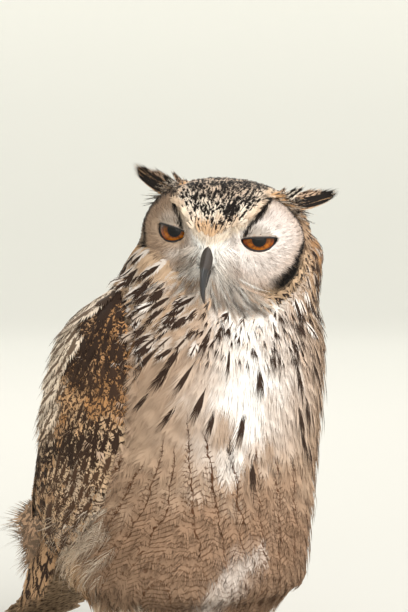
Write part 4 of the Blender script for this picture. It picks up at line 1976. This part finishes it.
@dataclass
class Eye:
    """An eyeball with a raised cornea, and its lids."""

    lids: Eyelids
    radius: float = 0.0150
    cornea: float = 0.0008
    look_up: float = 0.075
    look_in: float = 0.08

    @property
    def name(self) -> str:
        """The owl's own left or right."""
        return "left" if self.lids.side > 0 else "right"

    def globe(self) -> Piece:
        """The eyeball: a sphere by angle from its axis and turn about it, raised by a bell at the front."""
        centre, axes = self.lids.frame()
        away = np.linspace(0, pi, 49)[1:-1]
        turn = circle(72)
        a, t = np.meshgrid(away, turn, indexing="ij")
        reach = self.radius + self.cornea * np.exp(-((a / 0.62) ** 4))
        across = np.sin(a) * reach
        local = np.stack([across * np.cos(t), across * np.sin(t), np.cos(a) * reach], axis=-1).reshape(-1, 3)
        poles = np.array([[0, 0, self.radius + self.cornea], [0, 0, -self.radius]])
        points = centre + np.concatenate([local, poles]) @ axes
        faces = outward(points, closed_faces(len(away), len(turn)), centre)
        spots = np.concatenate([local, poles])
        look = unit([-self.look_in, self.look_up, 1.0])
        apart = np.arccos(np.clip(unit(spots) @ look, -1, 1))
        round_it = np.arctan2(spots[:, 1] - self.look_up * spots[:, 2], spots[:, 0] + self.look_in * spots[:, 2])
        round_it = round_it / (2 * pi)
        globe = np.stack([np.sin(np.minimum(apart, pi / 2)) * self.radius * 1000, round_it], axis=1)
        made = make_object(f"eyeball_{self.name}", points, faces, None, {"Globe": globe})
        return install(made, EyeFinish().material(), [f"eye_{self.name}"])

    def lid(self) -> Piece:
        """The lids: from the opening's edge on the eyeball over a larger sphere, and down under the coat."""
        centre, axes = self.lids.frame()
        turn = circle(96)
        across = np.cos(turn) * self.lids.half_opening
        high, low = self.lids.edge(across)
        up = np.where(np.sin(turn) >= 0, high, low)
        inner = self.radius + 0.0002
        rim = np.stack([across, up, np.sqrt(np.maximum(inner**2 - across**2 - up**2, 1e-6))], -1) / inner
        flat = unit(np.stack([np.cos(turn), np.sin(turn) * 0.9, np.zeros(len(turn))], -1))
        outer = unit(flat * sin(1.45) + np.array([0, 0, cos(1.45)]))
        w = np.array([-0.03, 0.0, 0.012, 0.028, 0.05, 0.08, 0.12, 0.17, 0.24, 0.34, 0.48, 0.64])
        swell = np.array([-12, 0, 5, 8, 9, 9, 8, 6, 3, -2, -8, -14]) * 0.0001
        directions = unit(rim[None] + (outer - rim)[None] * w[:, None, None])
        local = directions * (inner + swell)[:, None, None]
        points = centre + local.reshape(-1, 3) @ axes
        faces = outward(points, ring_faces(len(w), len(turn)), centre)
        uv = np.stack(np.broadcast_arrays(turn / (2 * pi), np.clip(w, 0, 1)[:, None]), -1).reshape(-1, 2)
        made = make_object(f"eyelids_{self.name}", points, faces, None, {"Lid": uv})
        return install(made, LidFinish().material())


def outward(points: Array, faces: Array, centre: Array) -> Array:
    """Triangles turned so that they face away from a centre."""
    a, b, c = (points[faces[:, n]] for n in range(3))
    facing = np.sum(np.cross(b - a, c - a) * ((a + b + c) / 3 - centre), axis=1) > 0
    return np.where(facing[:, None], faces, faces[:, ::-1])


def horn_mesh(name: str, rings: Array, node: str, material: Material) -> Piece:
    """A closed horn through rings shaped (stations, points, 3), with a pole at each end.

    Args:
        name: the piece's name.
        rings: its sections from base to tip.
        node: the node it replaces.
        material: its finish.

    Returns:
        The object.
    """
    stations, around = rings.shape[:2]
    middle = rings.mean(axis=1)
    points = np.concatenate([rings.reshape(-1, 3), middle[:1], middle[-1:]])
    faces = closed_faces(stations, around)
    a, b, c = (points[faces[:, n]] for n in range(3))
    volume = np.sum(a * np.cross(b, c))
    faces = faces if volume > 0 else faces[:, ::-1]
    uv = np.stack(np.meshgrid(np.linspace(0, 1, stations), np.linspace(0, 1, around), indexing="ij")[::-1], -1)
    uv = np.concatenate([uv.reshape(-1, 2), [[0.5, 0], [0.5, 1]]])
    made = make_object(name, points, faces, None, {"Horn": uv})
    return install(made, material, [node])


@dataclass
class Bill:
    """The bill: two mandibles along one arc that runs forward and down."""

    head: HeadShape
    material: Material
    arc_centre: tuple[float, float, float] = (0.0, -0.0400, -0.0130)
    arc_radius: float = 0.0225
    cere: float = 0.0035

    def mandible(self, name: str, first: float, last: float, width: float, depth: float, inward: float,
                 ridge: float) -> Piece:
        """A mandible: sections narrow towards the tip, and are pinched to a ridge on their outer side.

        Args:
            name: the piece's and its node's name.
            first: where it starts on the arc, in degrees.
            last: where it ends.
            width: its half width at the base.
            depth: its half depth at the base.
            inward: how far inside the arc it lies.
            ridge: how much its outer side is pinched.

        Returns:
            The object.
        """
        share = np.linspace(0, 1, 40)
        turn = np.radians(first + (last - first) * share)
        half_width = width * (1 - share**2.2 + 0.46 * ease(0.46, 0.30, share) * (inward == 0)) + 0.0006
        half_depth = depth * (1 - 0.9 * share**1.6) + 0.0005
        out = np.stack([0 * turn, -np.sin(turn), np.cos(turn)], axis=1)
        reach = self.arc_radius - inward - half_depth + self.cere * ease(0.34, 0.0, share) * (inward == 0)
        middle = np.array(self.arc_centre) + out * reach[:, None]
        around = circle(36)
        pinch = 1 - ridge * np.clip(np.sin(around), 0, 1) ** 2
        x = np.cos(around) * pinch
        rings = (middle[:, None] + ACROSS * (half_width[:, None] * x)[..., None]
                 + out[:, None] * (half_depth[:, None] * np.sin(around))[..., None])
        return horn_mesh(name + "_horn", self.head.to_body(rings), name, self.material)

    def build(self) -> None:
        """Both mandibles."""
        self.mandible("bill_upper", 8, 146, 0.0027, 0.0060, 0.0, 0.35)
        self.mandible("bill_lower", 40, 122, 0.0023, 0.0036, 0.0100, 0.0)


@dataclass
class Claws:
    """The eight claws, each a tapering quarter turn."""

    material: Material
    radius: float = 0.0042
    turn: float = 98.0

    def claw(self, name: str, side: int, degrees: float, toe_length: float, length: float) -> Piece:
        """A claw from the end of its toe down to the floor."""
        ahead = toe_direction(degrees, side)
        share = np.linspace(0, 1, 28)
        sweep = radians(self.turn)
        bend = length / sweep
        start = BALL * [side, 1, 1] + ahead * (toe_length - 0.004)
        start[2] = 0.0008 + bend * (1 - cos(sweep)) - bend * 0.12
        angle = share * sweep
        path = start + np.outer(bend * np.sin(angle), ahead) - np.outer(bend * (1 - np.cos(angle)), UP)
        path[:, 2] += max(0.0, 0.0006 - float(path[:, 2].min()))
        radii = self.radius * (1 - 0.93 * share**1.25)
        along = unit(np.gradient(path, axis=0))
        sideways = np.cross(ahead, UP)
        over = np.cross(sideways, along)
        around = circle(20)
        rings = path[:, None] + radii[:, None, None] * (np.cos(around)[None, :, None] * sideways
                                                        + 1.1 * np.sin(around)[None, :, None] * over[:, None])
        rings[..., 2] = np.maximum(rings[..., 2], 0.0002)
        return horn_mesh(name + "_horn", rings, name, self.material)

    def build(self) -> None:
        """All eight."""
        for side, label in SIDES:
            for toe, degrees, toe_length, length in TOES:
                self.claw(f"claw_{label}_{toe}", side, degrees, toe_length, length)


# ---- The studio


@dataclass
class Studio:
    """A pale floor that curves up all round, soft lights and the camera."""

    azimuth: float = -35.0
    elevation: float = 5.0
    distance: float = 2.2
    frame_height: float = 0.459
    light_distance: float = 2.0
    sensor: float = 36.0
    aim: tuple[float, float, float] = (*(BODY_SHIFT[:2] + 0.02025 * np.array([0.819, -0.574])), 0.27075)

    def floor(self) -> None:
        """A disc whose edge rises smoothly into a wall, as a surface of revolution."""
        reach = np.array([0, 0.3, 0.8, 1.6, 2.6, 3.4, 4.0, 4.5, 4.9, 5.2, 5.4, 5.5])
        rise = np.array([0, 0, 0, 0, 0, 0, 0.08, 0.32, 0.75, 1.4, 2.4, 4.2])
        turn = circle(96)
        ring = np.stack([np.outer(reach[1:], np.cos(turn)), np.outer(reach[1:], np.sin(turn)),
                         np.repeat(rise[1:, None], len(turn), axis=1)], axis=-1).reshape(-1, 3)
        points = np.concatenate([ring, [[0, 0, 0]]]) - BODY_SHIFT
        k = np.arange(len(turn))
        cap = np.stack([k, (k + 1) % len(turn), np.full(len(turn), len(ring))], -1)
        faces = np.concatenate([ring_faces(len(reach) - 1, len(turn))[:, ::-1], cap])
        made = make_object("studio_floor", points, faces)
        nodes = Nodes("studio_paper", Roughness=0.95, Specular_IOR_Level=0.1, Emission_Strength=0.36)
        x, y, height = nodes.split(nodes.place())
        wall = height.eased(0.0, 1.0)
        nodes.feed("Base Color", nodes.mix(wall, tint(202, 201, 195), tint(232, 231, 224)))
        far = (x * x + y * y).eased(0.8, 6.0)
        nodes.feed("Emission Color", nodes.mix(far, (0.0, 0.0, 0.0), tint(240, 240, 230)))
        made.data.materials.append(nodes.material)

    def light(self, name: str, azimuth: float, elevation: float, size: float, watts: float,
              colour: tuple[float, float, float]) -> None:
        """A square soft light."""
        data = bpy.data.lights.new(name, "AREA")
        data.size, data.energy, data.color = size, watts, colour
        self.stand(data, azimuth, elevation, self.light_distance)

    def stand(self, data: bpy.types.ID, azimuth: float, elevation: float, distance: float) -> Piece:
        """Stands a light or camera at this azimuth, elevation and distance, and turns it to the aim."""
        made = bpy.data.objects.new(data.name, data)
        bpy.context.scene.collection.objects.link(made)
        a, e = radians(azimuth), radians(elevation)
        toward = Vector((sin(a) * cos(e), -cos(a) * cos(e), sin(e)))
        made.location = Vector(self.aim) + toward * distance
        made.rotation_euler = toward.to_track_quat("Z", "Y").to_euler()
        return made

    def camera(self) -> None:
        """A long lens at the height of the breast."""
        data = bpy.data.cameras.new("camera")
        data.sensor_width, data.sensor_fit = self.sensor, "AUTO"
        data.lens = self.sensor * self.distance / self.frame_height
        bpy.context.scene.camera = self.stand(data, self.azimuth, self.elevation, self.distance)

    def build(self) -> None:
        """Floor, lights, sky and camera."""
        self.floor()
        self.light("key", 10, 34, 1.6, 37, (1.0, 0.99, 0.985))
        self.light("fill", -25, 4, 1.8, 15, (1.0, 0.99, 0.985))
        self.light("rim", 150, 40, 1.2, 26, (1.0, 0.98, 0.95))
        world = bpy.data.worlds.new("sky")
        world.use_nodes = True
        sky = world.node_tree.nodes["Background"].inputs
        sky["Color"].default_value, sky["Strength"].default_value = (1.0, 0.985, 0.97, 1.0), 0.62
        bpy.context.scene.world = world
        bpy.context.scene.view_settings.view_transform = "Standard"
        self.camera()


def main() -> None:
    """Builds the owl and its studio, and writes both boxes."""
    logging.basicConfig(level=logging.INFO, format="%(message)s")
    for obj in [obj for obj in bpy.data.objects if obj.name in ("Cube", "Light", "Camera")]:
        bpy.data.objects.remove(obj)
    shape = SkinField()
    markings = Markings(shape)
    lids = [Eyelids(1, shape.head, 0.0018, 0.0064), Eyelids(-1, shape.head, 0.0028, 0.0070)]
    Skin(shape, lids, markings).build()
    coat = Coat(shape, lids, markings)
    coat.dress_trunk()
    coat.dress_head()
    coat.dress_wings()
    coat.dress_tail()
    coat.dress_legs()
    coat.dress_ears()
    for lid in lids:
        eye = Eye(lid, look_in=0.08 if lid.side > 0 else 0.40)
        eye.globe()
        eye.lid()
    horn = HornFinish().material()
    Bill(shape.head, horn).build()
    Claws(horn).build()
    Studio().build()


if __name__ == "__main__":
    main()
